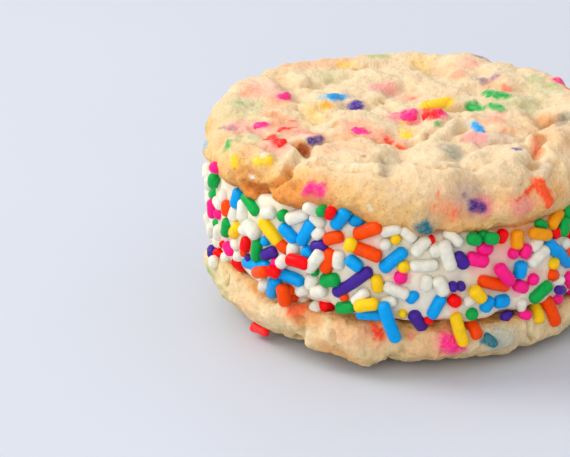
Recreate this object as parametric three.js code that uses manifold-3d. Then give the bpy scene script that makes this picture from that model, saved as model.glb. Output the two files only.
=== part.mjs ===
// A cookie ice cream sandwich: two soft, baked cookies with a thick round of ice cream between them,
// whose side is rolled in sugar sprinkles.
//
// Millimetres, +Z up. The origin is on the surface that the sandwich rests on, under its middle, and
// the front faces -Y. Angles round the sandwich are in degrees from the front, growing towards +X.
// Each cookie has a flat baked face against the ice cream and a lumpy crown on its other side, so the
// lower cookie lies crown down, on the flat that its own weight has pressed into the crown.
import * as THREE from "three";
import { mergeVertices } from "three/addons/utils/BufferGeometryUtils.js";
import Module from "manifold-3d";

const wasm = await Module();
wasm.setup();

// Driving sizes.
const COOKIE_RADIUS = 35;
const RIM_SETBACK = 0.45; // from the cookie's radius to its rim between the lumps
const FILLING_RADIUS = 33;
const FILLING_BULGE = 0.9; // how far the ice cream's side swells at half height
const GAP = 0.3; // between neighbouring pieces
const SPRINKLE_RADIUS = 0.95;

// Heights at the middle, and the slope towards +X, of the baked faces, of the upper dough between its
// lobes and of the underside of the lower rim. The sandwich leans a little, with its left side high.
const LOWER_FACE = { height: 9.4, slope: -0.062 };
const UPPER_FACE = { height: 25.5, slope: -0.052 };
const UPPER_CROWN = { height: 33.2, slope: -0.022 };
const UNDER_RIM = { height: 2.6, slope: -0.05 };

// The flat on which the sandwich rests.
const REST_RADIUS = 21;

// Fineness of the faceted surfaces.
const UPPER_DETAIL = 11;
const LOWER_DETAIL = 8;
const FILLING_STEPS = 40;
const SPRINKLE_SIDES = 6;

const FULL_TURN = 360;
const radians = THREE.MathUtils.degToRad;

// Where a rim bends up or the ice cream hangs over: centre and half width in degrees round from the
// front, and distance.
const UPPER_LIFT = { at: -33, half: 45, by: 2.2 };
const UNDER_LIFT = { at: -35, half: 16, by: 2.3 };
const OVERHANG = { at: 8, half: 48, by: 1.3 };

// Slow waves of an outline: [waves round the rim, share of the radius, start in degrees].
const UPPER_WAVES = [[2, 0.012, 326], [3, 0.005, 84], [5, 0.006, 20], [9, 0.005, 320]];
const LOWER_WAVES = [[2, 0.009, 260], [3, 0.005, 80], [7, 0.006, 250], [13, 0.006, 30]];
const FILLING_WAVES = [[3, 0.006, 270], [7, 0.006, 110], [13, 0.006, 290]];

// Lobes of dough on the upper crown: x, y, half length, half width, turn in degrees, height.
const UPPER_LOBES = [
  [-10, -28.5, 10, 5, -24, 2.2], [4, -29.5, 8, 6, 5, 2], [15.5, -23, 8, 6.5, 60, 2.3],
  [28, -14, 11, 7, 62, 2.4], [-25, -21, 8.5, 6.5, -45, 1.6], [-8.5, -19.5, 7.5, 6.5, -30, 1.5],
  [5, -19, 6.5, 5, 80, 1.5], [6.5, -8, 7.5, 4.5, 65, 1.7], [15, -8, 7, 6, 40, 1.9],
  [-8, -7, 8, 6.5, 20, 1.7], [-22.5, -8.5, 8, 6, -60, 1.5], [-27, 9, 13, 7.5, 80, 2.1],
  [-11, 8, 9, 6.5, 50, 1.5], [0, 1.5, 6.5, 5.5, 20, 1.6], [7, 8, 7.5, 6, 30, 1.5],
  [17, 4, 8, 6, 60, 1.6], [28, 7, 10, 6.5, 95, 1.9], [-17, 25, 11, 7, 38, 2.1],
  [-3, 18, 8, 6.5, 75, 1.6], [-4, 28.5, 9, 5.5, 0, 2], [9, 27, 9, 6, -12, 2.1],
  [10, 17, 7, 5.5, 0, 1.6], [21, 18, 9, 7.5, -50, 2.1],
];

// Smaller lumps of dough, at random on the crown and round the rims, each size between two limits.
// Those on the crown rise from the lobes. Those on a rim swell outwards, and their place and half height
// are shares of the cookie's height.
const CROWN_LUMPS = { seed: 3, count: 80, reach: 32, half: [2.4, 4.6], rise: [0.4, 0.9] };
const UPPER_RIM_LUMPS = { seed: 7, count: 24, up: [0.15, 0.8], half: [3.5, 7.5], rise: [0.4, 1.1] };
const LOWER_RIM_LUMPS = { seed: 9, count: 24, up: [0.3, 0.9], half: [3, 6.5], rise: [0.4, 1.1] };
const RIM_LUMP_HEIGHT = [0.3, 0.6];
const RIM_LUMP_FADE = 8; // the power of the share of the radius with which they fade inwards

// Sprinkles baked into the upper crown: x, y, turn in degrees, length.
const UPPER_BAKED = [
  [-12.3, 9, 20, 3.8], [-8, 5.5, 80, 3.6], [5.6, 6, 15, 5.2], [0.6, 0, 30, 3.4], [4.4, 0.4, 10, 3.6],
  [15, 11, -25, 4.4], [12, 3.5, -30, 3.4], [15.5, 3.4, -50, 3.2], [11.8, -6.6, -55, 3.4], [-24, -5, 10, 3.6],
  [-21, -12.6, -20, 3.6], [-14.6, -12.8, 15, 3.4], [-7.4, -8, -60, 3.2], [-20.8, 10, 40, 3.2],
  [-22.6, -22.5, 60, 3.4], [-26, 2, -10, 3.4], [3, 25, 20, 3.8], [-13, 22.5, -30, 3.4], [22, 18, 60, 3.6],
];

// Sprinkles stuck to the rims: degrees round from the front, radius, height, turn, length.
const UPPER_RIM_SPRINKLES = [[40.5, 34.3, 29, 62, 4.8], [-105, 34.9, 30, 20, 4], [160, 34, 28.8, -35, 4.4]];
const LOWER_RIM_SPRINKLES = [[22, 34.2, 5.6, -50, 3.4], [-54.5, 31.4, 2, 8, 4.4], [-150, 34.2, 6.5, 30, 4]];

// Sprinkles that stand out on the ice cream: degrees round from the front, height, turn, length. The
// last ones hang over the lower cookie, and also have the angle that they lean out by.
const PLACED_SPRINKLES = [
  [-48, 15.9, 15, 7.4], [-42, 23.6, -32, 6.4], [-49, 26.6, -30, 5.6], [-34.6, 15.7, -6, 5.6],
  [-29, 24.6, 68, 6], [-22.7, 20.3, 78, 4.8], [-15.6, 17.3, 40, 8.4], [-11, 22.6, -27, 5.9],
  [-4.1, 21.5, 42, 6.2], [7.4, 12.9, 62, 4.8], [4, 20.4, 2, 4.8], [23.8, 15.7, -31, 6.4],
  [27.4, 17.2, -58, 5], [18.9, 20.6, -12, 4.4], [45.8, 17.9, -45, 8.8], [39.8, 21.6, -22, 5.6],
  [39.2, 12.2, 30, 4.8], [-5, 10.4, -72, 7.4, 10], [2.2, 10.9, -58, 4.4, 6], [13.9, 9, -76, 6.6, 10],
  [17.9, 8.2, -64, 4.4, 10], [43.4, 8.4, -62, 7, 18], [37.8, 8.6, -78, 4.2, 12],
];

// The rule that spreads the other sprinkles, from long to short where there is room: in front, between
// the placed ones, and behind. Angles are in degrees round from the front.
const FRONT = { from: -75, to: 57, seed: 5, count: 44, placed: PLACED_SPRINKLES };
const BACK = { from: 57, to: 285, seed: 11, count: 78, placed: [] };
const LONGEST = 6.4;
const SHORTEST = 3.4; // shorter sprinkles are left out of the solid
const TRIES = 60;
const BEAD_STEP = 1.2; // a sprinkle is tested as a row of beads this far apart
const CLEARANCE = 1.9; // between the beads of two sprinkles
const EDGE_MARGIN = 1.3; // between a bead and a cookie

// A stream of numbers from 0 to 1 that is the same each time for the same seed.
function seededDraws(seed) {
  let state = seed;
  return () => {
    state = (state * 1664525 + 1013904223) % 4294967296;
    return state / 4294967296;
  };
}

function degreesRound(x, y) {
  return THREE.MathUtils.radToDeg(Math.atan2(x, -y));
}

// A smooth bump, from 0 at its ends to its full distance at its centre.
function bump({ at, half, by }, degrees) {
  const past = THREE.MathUtils.euclideanModulo(degrees - at, FULL_TURN);
  const away = Math.min(past, FULL_TURN - past) / half;
  return away < 1 ? by * Math.cos((away * Math.PI) / 2) ** 2 : 0;
}

function waviness(waves, degrees) {
  const wave = ([count, share, start]) => share * Math.sin(radians(count * degrees + start));
  return 1 + waves.map(wave).reduce((sum, part) => sum + part);
}

function leaning({ height, slope }, x) {
  return height + slope * x;
}

// How far out a point lies, as a share that is small in the middle and 1 at the rim.
function rimShare(x, y) {
  return Math.min(1, Math.hypot(x, y) / COOKIE_RADIUS) ** 2;
}

function upperFace(x, y) {
  return leaning(UPPER_FACE, x) + bump(UPPER_LIFT, degreesRound(x, y)) * rimShare(x, y);
}

function lowerFace(x) {
  return leaning(LOWER_FACE, x);
}

// The height of a round mound at a place: its start and its full rise in its middle, and 0 outside it.
function moundHeight([cx, cy, halfLength, halfWidth, turn, rise, start = 0], x, y) {
  const cos = Math.cos(radians(turn));
  const sin = Math.sin(radians(turn));
  const along = ((x - cx) * cos + (y - cy) * sin) / halfLength;
  const across = ((y - cy) * cos - (x - cx) * sin) / halfWidth;
  const inside = 1 - along * along - across * across;
  return inside > 0 ? start + rise * Math.sqrt(inside) : 0;
}

function highestMound(mounds, x, y) {
  return mounds.reduce((height, mound) => Math.max(height, moundHeight(mound, x, y)), 0);
}

// A stream's next number, brought between two limits.
function between([low, high], draw) {
  return low + (high - low) * draw();
}

// Lumps on the crown: x, y, half length, half width, turn, rise, and the height that they rise from.
function crownLumps({ seed, count, reach, half, rise }) {
  const draw = seededDraws(seed);
  return Array.from({ length: count }, () => {
    const out = reach * Math.sqrt(draw());
    const round = radians(FULL_TURN * draw());
    const [x, y] = [out * Math.sin(round), -out * Math.cos(round)];
    const shape = [between(half, draw), between(half, draw), FULL_TURN * draw(), between(rise, draw)];
    return [x, y, ...shape, highestMound(UPPER_LOBES, x, y)];
  });
}

// Lumps on the unrolled rim: millimetres round it, share of the height, half length, half height, turn
// and rise.
function rimLumps({ seed, count, up, half, rise }) {
  const draw = seededDraws(seed);
  return Array.from({ length: count }, (_, i) => {
    const round = radians((FULL_TURN * (i + draw())) / count) * COOKIE_RADIUS;
    const height = between(up, draw);
    return [round, height, between(half, draw), between(RIM_LUMP_HEIGHT, draw), 0, between(rise, draw)];
  });
}

const UPPER_MOUNDS = [...UPPER_LOBES, ...crownLumps(CROWN_LUMPS)];

function upperCrown(x, y) {
  return leaning(UPPER_CROWN, x) + highestMound(UPPER_MOUNDS, x, y);
}

// The lower crown is flat where it rests and rises from there to the underside of its rim.
function lowerCrown(x, y) {
  const out = Math.max(0, (Math.hypot(x, y) - REST_RADIUS) / (COOKIE_RADIUS - REST_RADIUS));
  return (leaning(UNDER_RIM, x) + bump(UNDER_LIFT, degreesRound(x, y))) * out ** 1.5;
}

// A closed solid from a three.js geometry whose triangles meet at shared points.
function solidOf(geometry) {
  const bare = new THREE.BufferGeometry();
  bare.setAttribute("position", geometry.getAttribute("position"));
  bare.setIndex(geometry.index);
  const merged = mergeVertices(bare, 1e-4);
  const vertProperties = merged.getAttribute("position").array;
  const triVerts = new Uint32Array(merged.index.array);
  return new wasm.Manifold(new wasm.Mesh({ numProp: 3, vertProperties, triVerts }));
}

function geometryOf(solid) {
  const mesh = solid.getMesh();
  const geometry = new THREE.BufferGeometry();
  geometry.setAttribute("position", new THREE.BufferAttribute(mesh.vertProperties, 3));
  geometry.setIndex(new THREE.BufferAttribute(mesh.triVerts, 1));
  geometry.computeVertexNormals();
  return geometry;
}

// Turns a profile of [share of the radius, share of the height] and moves each point to its place.
function turnedSolid(profile, steps, place) {
  const points = profile.map(([out, up]) => new THREE.Vector2(out, up));
  const geometry = new THREE.LatheGeometry(points, steps).rotateX(Math.PI / 2);
  const position = geometry.getAttribute("position");
  for (let i = 0; i < position.count; i++) {
    position.setXYZ(i, ...place(position.getX(i), position.getY(i), position.getZ(i)));
  }
  return solidOf(geometry);
}

// The section of a cookie as [share of the radius, share of the height], from the middle of the crown
// at 0, round the rim, to the middle of the baked face at 1. The rim is two quarter ellipses.
const RIM = { crownWidth: 0.16, lipWidth: 0.05, middle: 0.42 };
const STATIONS = { crownEdge: 0.53, middle: 0.675, lipEdge: 0.75 };

function section(station) {
  const { crownWidth, lipWidth, middle } = RIM;
  const { crownEdge, middle: middleStation, lipEdge } = STATIONS;
  if (station < crownEdge) return [((1 - crownWidth) * station) / crownEdge, 1];
  if (station < middleStation) {
    const turn = ((station - crownEdge) / (middleStation - crownEdge)) * (Math.PI / 2);
    return [1 - crownWidth + crownWidth * Math.sin(turn), middle + (1 - middle) * Math.cos(turn)];
  }
  if (station < lipEdge) {
    const turn = ((station - middleStation) / (lipEdge - middleStation)) * (Math.PI / 2);
    return [1 - lipWidth + lipWidth * Math.cos(turn), middle * (1 - Math.sin(turn))];
  }
  return [((1 - lipWidth) * (1 - station)) / (1 - lipEdge), 0];
}

// A cookie from its crown to its baked face: a ball whose points are moved to the cookie's section.
// facing is 1 where the crown is up and -1 where it is down. A larger one, grown all round, leaves a gap
// when it is cut out of a neighbour.
function cookie({ face, crown, waves, lumps, facing, detail }, grown) {
  const geometry = new THREE.IcosahedronGeometry(1, detail);
  const position = geometry.getAttribute("position");
  const whole = radians(FULL_TURN) * COOKIE_RADIUS;
  for (let i = 0; i < position.count; i++) {
    const [ballX, ballY, ballZ] = [position.getX(i), position.getY(i), position.getZ(i)];
    const [out, up] = section(Math.acos(THREE.MathUtils.clamp(facing * ballZ, -1, 1)) / Math.PI);
    const degrees = degreesRound(ballX, ballY);
    const round = THREE.MathUtils.euclideanModulo(radians(degrees) * COOKIE_RADIUS, whole);
    const swell = Math.max(highestMound(lumps, round, up), highestMound(lumps, round + whole, up));
    const smooth = out * (COOKIE_RADIUS - RIM_SETBACK + grown) * waviness(waves, degrees);
    const radius = smooth + out ** RIM_LUMP_FADE * swell;
    const [x, y] = [radius * Math.sin(radians(degrees)), -radius * Math.cos(radians(degrees))];
    const from = face(x, y) - facing * grown;
    const to = crown(x, y) + facing * grown;
    position.setXYZ(i, x, y, from + (to - from) * up);
  }
  return solidOf(geometry);
}

// A rod with blunt ends along +Y, its length measured over both ends.
function sprinkle(length) {
  const side = length / 2 - SPRINKLE_RADIUS / 2;
  const profile = [[0, -length / 2], [SPRINKLE_RADIUS, -side], [SPRINKLE_RADIUS, side], [0, length / 2]];
  return new THREE.LatheGeometry(profile.map(([out, up]) => new THREE.Vector2(out, up)), SPRINKLE_SIDES);
}

// A sprinkle baked into the crown, half sunk in the dough.
function crownSprinkle([x, y, turn, length]) {
  const depth = 0.4 * SPRINKLE_RADIUS;
  return solidOf(sprinkle(length).rotateZ(radians(turn - 90)).translate(x, y, upperCrown(x, y) - depth));
}

// A sprinkle that lies along an upright side, its lower end leaning out from it.
function sideSprinkle([degrees, radius, height, turn, length, lean = 0]) {
  const rod = sprinkle(length).rotateZ(radians(turn - 90)).rotateX(radians(90 - lean));
  return solidOf(rod.translate(0, -radius, height).rotateZ(radians(degrees)));
}

// The ice cream's radius at an angle and at a share of the height between the cookies.
function fillingRadius(degrees, up) {
  const swell = FILLING_BULGE * (1 - (2 * up - 1) ** 2);
  return (FILLING_RADIUS + swell) * waviness(FILLING_WAVES, degrees) + bump(OVERHANG, degrees) * (1 - up);
}

// The lowest and highest point of the ice cream's side at an angle.
function sideHeights(degrees) {
  const x = FILLING_RADIUS * Math.sin(radians(degrees));
  const y = -FILLING_RADIUS * Math.cos(radians(degrees));
  return [lowerFace(x) + GAP, upperFace(x, y) - GAP];
}

// The ice cream without its sprinkles, a little more than the gap away from each cookie.
function fillingCore() {
  const clear = 1.15 * GAP;
  const profile = [[0, 0], [0.6, 0], [1, 0], [1, 0.3], [1, 0.7], [1, 1], [0.6, 1], [0, 1]];
  return turnedSolid(profile, FILLING_STEPS, (outX, outY, up) => {
    const radius = fillingRadius(degreesRound(outX, outY), up);
    const x = outX * radius;
    const y = outY * radius;
    const from = lowerFace(x) + clear;
    return [x, y, from + (upperFace(x, y) - clear - from) * up];
  });
}

// The beads of a sprinkle, as millimetres along the unrolled side and height.
function beadsOf([degrees, height, turn, length]) {
  const reach = length / 2 - SPRINKLE_RADIUS;
  const count = 1 + Math.ceil((2 * reach) / BEAD_STEP);
  return Array.from({ length: count }, (_, i) => {
    const along = count > 1 ? reach * ((2 * i) / (count - 1) - 1) : 0;
    return [
      radians(degrees) * FILLING_RADIUS + along * Math.cos(radians(turn)),
      height + along * Math.sin(radians(turn)),
    ];
  });
}

// The placed sprinkles of a stretch of the side, and then others at random from long to short.
function spreadSprinkles({ from, to, seed, count, placed }) {
  const draw = seededDraws(seed);
  const kept = [...placed];
  const taken = kept.flatMap(beadsOf);
  for (let i = 0; i < count; i++) {
    const length = LONGEST + ((SHORTEST - LONGEST) * i) / (count - 1);
    for (let attempt = 0; attempt < TRIES; attempt++) {
      const degrees = from + (to - from) * draw();
      const [low, high] = sideHeights(degrees);
      const height = low + (high - low) * draw();
      const turn = 180 * draw() - 90;
      const beads = beadsOf([degrees, height, turn, length]);
      const inside = beads.every(([, z]) => z > low + EDGE_MARGIN && z < high - EDGE_MARGIN);
      const free = ([x, z]) => taken.every(([x2, z2]) => Math.hypot(x - x2, z - z2) > CLEARANCE);
      if (inside && beads.every(free)) {
        kept.push([degrees, height, turn, length]);
        taken.push(...beads);
        break;
      }
    }
  }
  return kept;
}

// A sprinkle on the ice cream, a little over half of it proud.
function rolledSprinkle([degrees, height, turn, length, lean]) {
  const [low, high] = sideHeights(degrees);
  const up = THREE.MathUtils.clamp((height - low) / (high - low), 0, 1);
  const radius = fillingRadius(degrees, up) + 0.3 * SPRINKLE_RADIUS;
  return sideSprinkle([degrees, radius, height, turn, length, lean]);
}

// Pieces fused to a solid.
function fused(solid, pieces) {
  return pieces.reduce((whole, piece) => whole.add(piece), solid);
}

// A solid without the loose scraps that a cut leaves.
function largestBody(solid) {
  return solid.decompose().reduce((best, body) => (body.volume() > best.volume() ? body : best));
}

const UPPER_DOUGH = {
  face: upperFace,
  crown: upperCrown,
  waves: UPPER_WAVES,
  lumps: rimLumps(UPPER_RIM_LUMPS),
  facing: 1,
  detail: UPPER_DETAIL,
};
const LOWER_DOUGH = {
  face: lowerFace,
  crown: lowerCrown,
  waves: LOWER_WAVES,
  lumps: rimLumps(LOWER_RIM_LUMPS),
  facing: -1,
  detail: LOWER_DETAIL,
};

function upperCookie() {
  const baked = [...UPPER_BAKED.map(crownSprinkle), ...UPPER_RIM_SPRINKLES.map(sideSprinkle)];
  return largestBody(fused(cookie(UPPER_DOUGH, 0), baked));
}

function lowerCookie() {
  return largestBody(fused(cookie(LOWER_DOUGH, 0), LOWER_RIM_SPRINKLES.map(sideSprinkle)));
}

function iceCream() {
  const sprinkles = [FRONT, BACK].flatMap(spreadSprinkles);
  const rolled = fused(fillingCore(), sprinkles.map(rolledSprinkle));
  return largestBody(rolled.subtract(cookie(UPPER_DOUGH, GAP)).subtract(cookie(LOWER_DOUGH, GAP)));
}

function named(name, solid, color) {
  const material = new THREE.MeshStandardMaterial({ color, roughness: 0.8, metalness: 0 });
  const mesh = new THREE.Mesh(geometryOf(solid), material);
  mesh.name = name;
  return mesh;
}

const sandwich = new THREE.Group();
sandwich.add(
  named("upper_cookie", upperCookie(), 0xf3dbab),
  named("ice_cream", iceCream(), 0xf7f3ea),
  named("lower_cookie", lowerCookie(), 0xeed3a0),
);

export default sandwich;
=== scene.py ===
"""A cookie ice cream sandwich: two soft baked cookies, ice cream between them and sugar sprinkles.

The pieces are shaped in millimetres and brought to metres when they are finished. +Z is up and the front
faces -Y. Angles round the sandwich are in degrees from the front, growing towards +X.
"""
import math

import bpy
import numpy as np
from mathutils import Matrix, Vector, noise
from mathutils.bvhtree import BVHTree
from mathutils.kdtree import KDTree


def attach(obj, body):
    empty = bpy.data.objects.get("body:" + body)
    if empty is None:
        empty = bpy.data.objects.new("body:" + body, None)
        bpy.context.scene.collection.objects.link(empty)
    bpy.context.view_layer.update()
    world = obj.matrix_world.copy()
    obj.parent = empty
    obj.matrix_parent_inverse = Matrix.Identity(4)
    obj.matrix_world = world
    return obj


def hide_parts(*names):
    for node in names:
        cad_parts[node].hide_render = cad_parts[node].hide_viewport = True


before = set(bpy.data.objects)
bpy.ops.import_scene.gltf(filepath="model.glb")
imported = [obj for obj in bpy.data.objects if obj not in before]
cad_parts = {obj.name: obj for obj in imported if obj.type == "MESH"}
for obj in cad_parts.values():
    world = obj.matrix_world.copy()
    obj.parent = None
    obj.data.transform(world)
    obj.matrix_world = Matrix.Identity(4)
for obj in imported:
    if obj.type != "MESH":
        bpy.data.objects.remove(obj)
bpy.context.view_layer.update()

NOISE_SEED = 5
noise.seed_set(NOISE_SEED)  # without it noise_vector starts from the time of day

MM = 0.001
FULL_TURN = 360

# ---- sizes of the sandwich, as in the solids
COOKIE_RADIUS = 35
RIM_SETBACK = 0.45
FILLING_RADIUS = 33
FILLING_BULGE = 0.9
SPRINKLE_RADIUS = 0.95
REST_RADIUS = 21

# Height in the middle and slope towards +X.
LOWER_FACE = (9.4, -0.062)
UPPER_FACE = (25.5, -0.052)
UPPER_CROWN = (33.2, -0.022)
UNDER_RIM = (2.6, -0.05)

# Centre and half width in degrees round from the front, and distance.
UPPER_LIFT = (-33, 45, 2.2)
UNDER_LIFT = (-35, 16, 2.3)
OVERHANG = (8, 48, 1.3)

# Slow waves of an outline: waves round the rim, share of the radius, start in degrees.
UPPER_WAVES = [(2, 0.012, 326), (3, 0.005, 84), (5, 0.006, 20), (9, 0.005, 320)]
LOWER_WAVES = [(2, 0.009, 260), (3, 0.005, 80), (7, 0.006, 250), (13, 0.006, 30)]
FILLING_WAVES = [(3, 0.006, 270), (7, 0.006, 110), (13, 0.006, 290)]

# Lobes of dough on the upper crown: x, y, half length, half width, turn in degrees, height.
UPPER_LOBES = [
    (-10, -28.5, 10, 5, -24, 2.2), (4, -29.5, 8, 6, 5, 2), (15.5, -23, 8, 6.5, 60, 2.3),
    (28, -14, 11, 7, 62, 2.4), (-25, -21, 8.5, 6.5, -45, 1.6), (-8.5, -19.5, 7.5, 6.5, -30, 1.5),
    (5, -19, 6.5, 5, 80, 1.5), (6.5, -8, 7.5, 4.5, 65, 1.7), (15, -8, 7, 6, 40, 1.9),
    (-8, -7, 8, 6.5, 20, 1.7), (-22.5, -8.5, 8, 6, -60, 1.5), (-27, 9, 13, 7.5, 80, 2.1),
    (-11, 8, 9, 6.5, 50, 1.5), (0, 1.5, 6.5, 5.5, 20, 1.6), (7, 8, 7.5, 6, 30, 1.5), (17, 4, 8, 6, 60, 1.6),
    (28, 7, 10, 6.5, 95, 1.9), (-17, 25, 11, 7, 38, 2.1), (-3, 18, 8, 6.5, 75, 1.6),
    (-4, 28.5, 9, 5.5, 0, 2), (9, 27, 9, 6, -12, 2.1), (10, 17, 7, 5.5, 0, 1.6), (21, 18, 9, 7.5, -50, 2.1),
]

# Smaller lumps of dough, at random on the crown and round the rims.
CROWN_LUMPS = {"seed": 3, "count": 80, "reach": 32, "half": (2.4, 4.6), "rise": (0.4, 0.9)}
UPPER_RIM_LUMPS = {"seed": 7, "count": 24, "up": (0.15, 0.8), "half": (3.5, 7.5), "rise": (0.4, 1.1)}
LOWER_RIM_LUMPS = {"seed": 9, "count": 24, "up": (0.3, 0.9), "half": (3, 6.5), "rise": (0.4, 1.1)}
RIM_LUMP_HEIGHT = (0.3, 0.6)

# ---- camera
CAMERA_PLACE = Vector((0, -388.6, 175.4))
CAMERA_TURN = 3.18  # degrees to the left of straight ahead
CAMERA_TILT = 22.67  # degrees below the horizon
CAMERA_ROLL = -2.0
CAMERA_LENS = 151.6
SENSOR = 36
FRAME = (570, 457)
SEEN_STEP = 2  # places of the frame

# ---- colours, as display values from 0 to 255
PALE_DOUGH = (230, 200, 157)
HONEY_DOUGH = (227, 184, 118)
TOASTED_DOUGH = (210, 137, 57)
BROWN_CRUST = (168, 86, 25)
SKY = (250, 251, 255)
SUGAR = {
    "white": (233, 229, 212), "blue": (0, 160, 235), "orange": (255, 76, 0), "yellow": (254, 204, 22),
    "amber": (246, 158, 12), "green": (10, 168, 72), "red": (255, 6, 12), "pink": (255, 28, 134),
    "purple": (70, 38, 146), "teal": (6, 104, 118),
}
MARK = {
    **SUGAR, "plum": (66, 22, 120), "golden": (222, 140, 52), "brown": (166, 80, 22),
    "peach": (242, 156, 104), "sky": (112, 180, 205), "rose": (250, 132, 140),
}
# Ramps over soft noise or over browning: share and colour of each stop.
CREAM = [(0.3, (237, 225, 202)), (0.75, (226, 212, 185))]
TABLE = [(0.3, (199, 204, 214)), (0.7, (202, 207, 217))]
CRUMBS = [(0.55, (0, 0, 0)), (0.8, (120, 120, 120))]
CRUMB_TONES = [(0, PALE_DOUGH), (1, HONEY_DOUGH)]
UPPER_TONES = [
    (0.15, (234, 212, 174)), (0.32, PALE_DOUGH), (0.5, HONEY_DOUGH), (0.8, TOASTED_DOUGH), (1, BROWN_CRUST),
]
LOWER_TONES = [
    (0.12, (232, 212, 170)), (0.36, (222, 195, 146)), (0.52, (214, 178, 120)), (0.85, TOASTED_DOUGH),
    (1, BROWN_CRUST),
]


# ---- numbers
def seeded_draws(seed):
    """A stream of numbers from 0 to 1 that is the same each time for the same seed."""
    state = seed
    while True:
        state = (state * 1664525 + 1013904223) % 4294967296
        yield state / 4294967296


def between(limits, draws):
    low, high = limits
    return low + (high - low) * next(draws)


def step_between(low, high, values):
    """A smooth step from 0 below the first value to 1 above the second."""
    share = np.clip((values - low) / (high - low), 0, 1)
    return share * share * (3 - 2 * share)


def bump(shape, degrees):
    """A smooth bump, from 0 at its ends to its full distance at its centre."""
    at, half, distance = shape
    away = np.abs((degrees - at + FULL_TURN / 2) % FULL_TURN - FULL_TURN / 2) / half
    return distance * np.cos(np.minimum(away, 1) * math.pi / 2) ** 2


def waviness(waves, degrees):
    return 1 + sum(share * np.sin(np.radians(count * degrees + start)) for count, share, start in waves)


def noise_at(points, size):
    """Soft noise from about -1 to 1 at each point, with features of a size."""
    return np.array([noise.noise(Vector(point) / size) for point in points])


def wander(points, size, distance):
    """The points moved a little by noise, so that what is drawn by them has ragged edges."""
    return points + distance * np.array([noise.noise_vector(Vector(point) / size) for point in points])


def distance_to(points, places):
    away = np.full(len(points), np.inf)
    for place in places:
        away = np.minimum(away, np.linalg.norm(points - np.array(place), axis=1))
    return away


def linear(colour):
    """A display colour from 0 to 255 as linear values from 0 to 1."""
    share = np.array(colour) / 255
    return np.where(share <= 0.04045, share / 12.92, ((share + 0.055) / 1.055) ** 2.4)


# ---- form of the sandwich
def degrees_round(x, y):
    return np.degrees(np.arctan2(x, -y))


def side_point(degrees, radius, height):
    angle = math.radians(degrees)
    return Vector((radius * math.sin(angle), -radius * math.cos(angle), height))


def leaning(plane, x):
    height, slope = plane
    return height + slope * x


def upper_face(x, y):
    share = np.minimum(1, np.hypot(x, y) / COOKIE_RADIUS) ** 2
    return leaning(UPPER_FACE, x) + bump(UPPER_LIFT, degrees_round(x, y)) * share


def upper_crown(x, y):
    return leaning(UPPER_CROWN, x) + highest_mound(UPPER_MOUNDS, x, y)


def lower_face(x, y):
    return leaning(LOWER_FACE, x)


def lower_crown(x, y):
    out = np.maximum(0, (np.hypot(x, y) - REST_RADIUS) / (COOKIE_RADIUS - REST_RADIUS))
    return (leaning(UNDER_RIM, x) + bump(UNDER_LIFT, degrees_round(x, y))) * out**1.5


def filling_radius(degrees, up):
    swell = FILLING_BULGE * (1 - (2 * up - 1) ** 2)
    return (FILLING_RADIUS + swell) * waviness(FILLING_WAVES, degrees) + bump(OVERHANG, degrees) * (1 - up)


# ---- modelling helpers
def make_active(obj):
    bpy.ops.object.select_all(action="DESELECT")
    obj.select_set(True)
    bpy.context.view_layer.objects.active = obj


def apply_modifier(obj, kind, **settings):
    make_active(obj)
    modifier = obj.modifiers.new(kind.lower(), kind)
    for name, value in settings.items():
        setattr(modifier, name, value)
    bpy.ops.object.modifier_apply(modifier=modifier.name)


def soften(obj, rounds):
    apply_modifier(obj, "SMOOTH", factor=0.5, iterations=rounds)


def remesh(obj, voxel):
    """Makes one skin of even fineness."""
    apply_modifier(obj, "REMESH", mode="VOXEL", voxel_size=voxel, use_smooth_shade=True)


def displace(obj, size, kind, direction, distance):
    texture = bpy.data.textures.new(f"clouds_{size}", "CLOUDS")
    texture.noise_scale = size
    texture.cloud_type = kind
    apply_modifier(obj, "DISPLACE", texture=texture, texture_coords="LOCAL", direction=direction,
                   strength=distance, mid_level=0.5)


def roughen(obj, size, height):
    """Raises and lowers a surface by soft noise of a size, through a height in all."""
    displace(obj, size, "GRAYSCALE", "NORMAL", height)


def distort(obj, size, distance):
    """Pushes the points every way, so that no outline stays regular."""
    displace(obj, size, "COLOR", "RGB_TO_XYZ", distance)


def points_of(obj):
    points = np.empty(len(obj.data.vertices) * 3)
    obj.data.vertices.foreach_get("co", points)
    return points.reshape(-1, 3)


def normals_of(obj):
    normals = np.empty(len(obj.data.vertices) * 3)
    obj.data.vertex_normals.foreach_get("vector", normals)
    return normals.reshape(-1, 3)


def set_points(obj, points):
    obj.data.vertices.foreach_set("co", np.asarray(points, dtype=np.float32).ravel())
    obj.data.update()


def store_colours(obj, name, colours):
    """Keeps a colour and a strength at each point for the material."""
    obj.data.attributes.new(name, "FLOAT_COLOR", "POINT").data.foreach_set("color", colours.ravel())


def surface_of(obj):
    """The surface of an object in its present shape, for rays and nearest places."""
    bpy.context.view_layer.update()
    return BVHTree.FromObject(obj, bpy.context.evaluated_depsgraph_get())


def turned_body(profile, steps, place):
    """Turns a profile of (share of the radius, share of the height) and moves its rings to their place."""
    out, up = profile[0]
    bpy.ops.mesh.primitive_circle_add(vertices=steps, radius=out, fill_type="NGON", location=(0, 0, up))
    obj = bpy.context.object
    bpy.ops.object.transform_apply(location=True)
    bpy.ops.object.mode_set(mode="EDIT")
    for (last_out, last_up), (next_out, next_up) in zip(profile, profile[1:]):
        bpy.ops.mesh.extrude_region_move(TRANSFORM_OT_translate={"value": (0, 0, next_up - last_up)})
        growth = next_out / last_out
        bpy.ops.transform.resize(value=(growth, growth, 1), center_override=(0, 0, next_up))
    bpy.ops.mesh.select_all(action="SELECT")
    bpy.ops.mesh.normals_make_consistent(inside=False)
    bpy.ops.object.mode_set(mode="OBJECT")
    points = points_of(obj)
    set_points(obj, place(points[:, 0], points[:, 1], points[:, 2]))
    return obj


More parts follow.
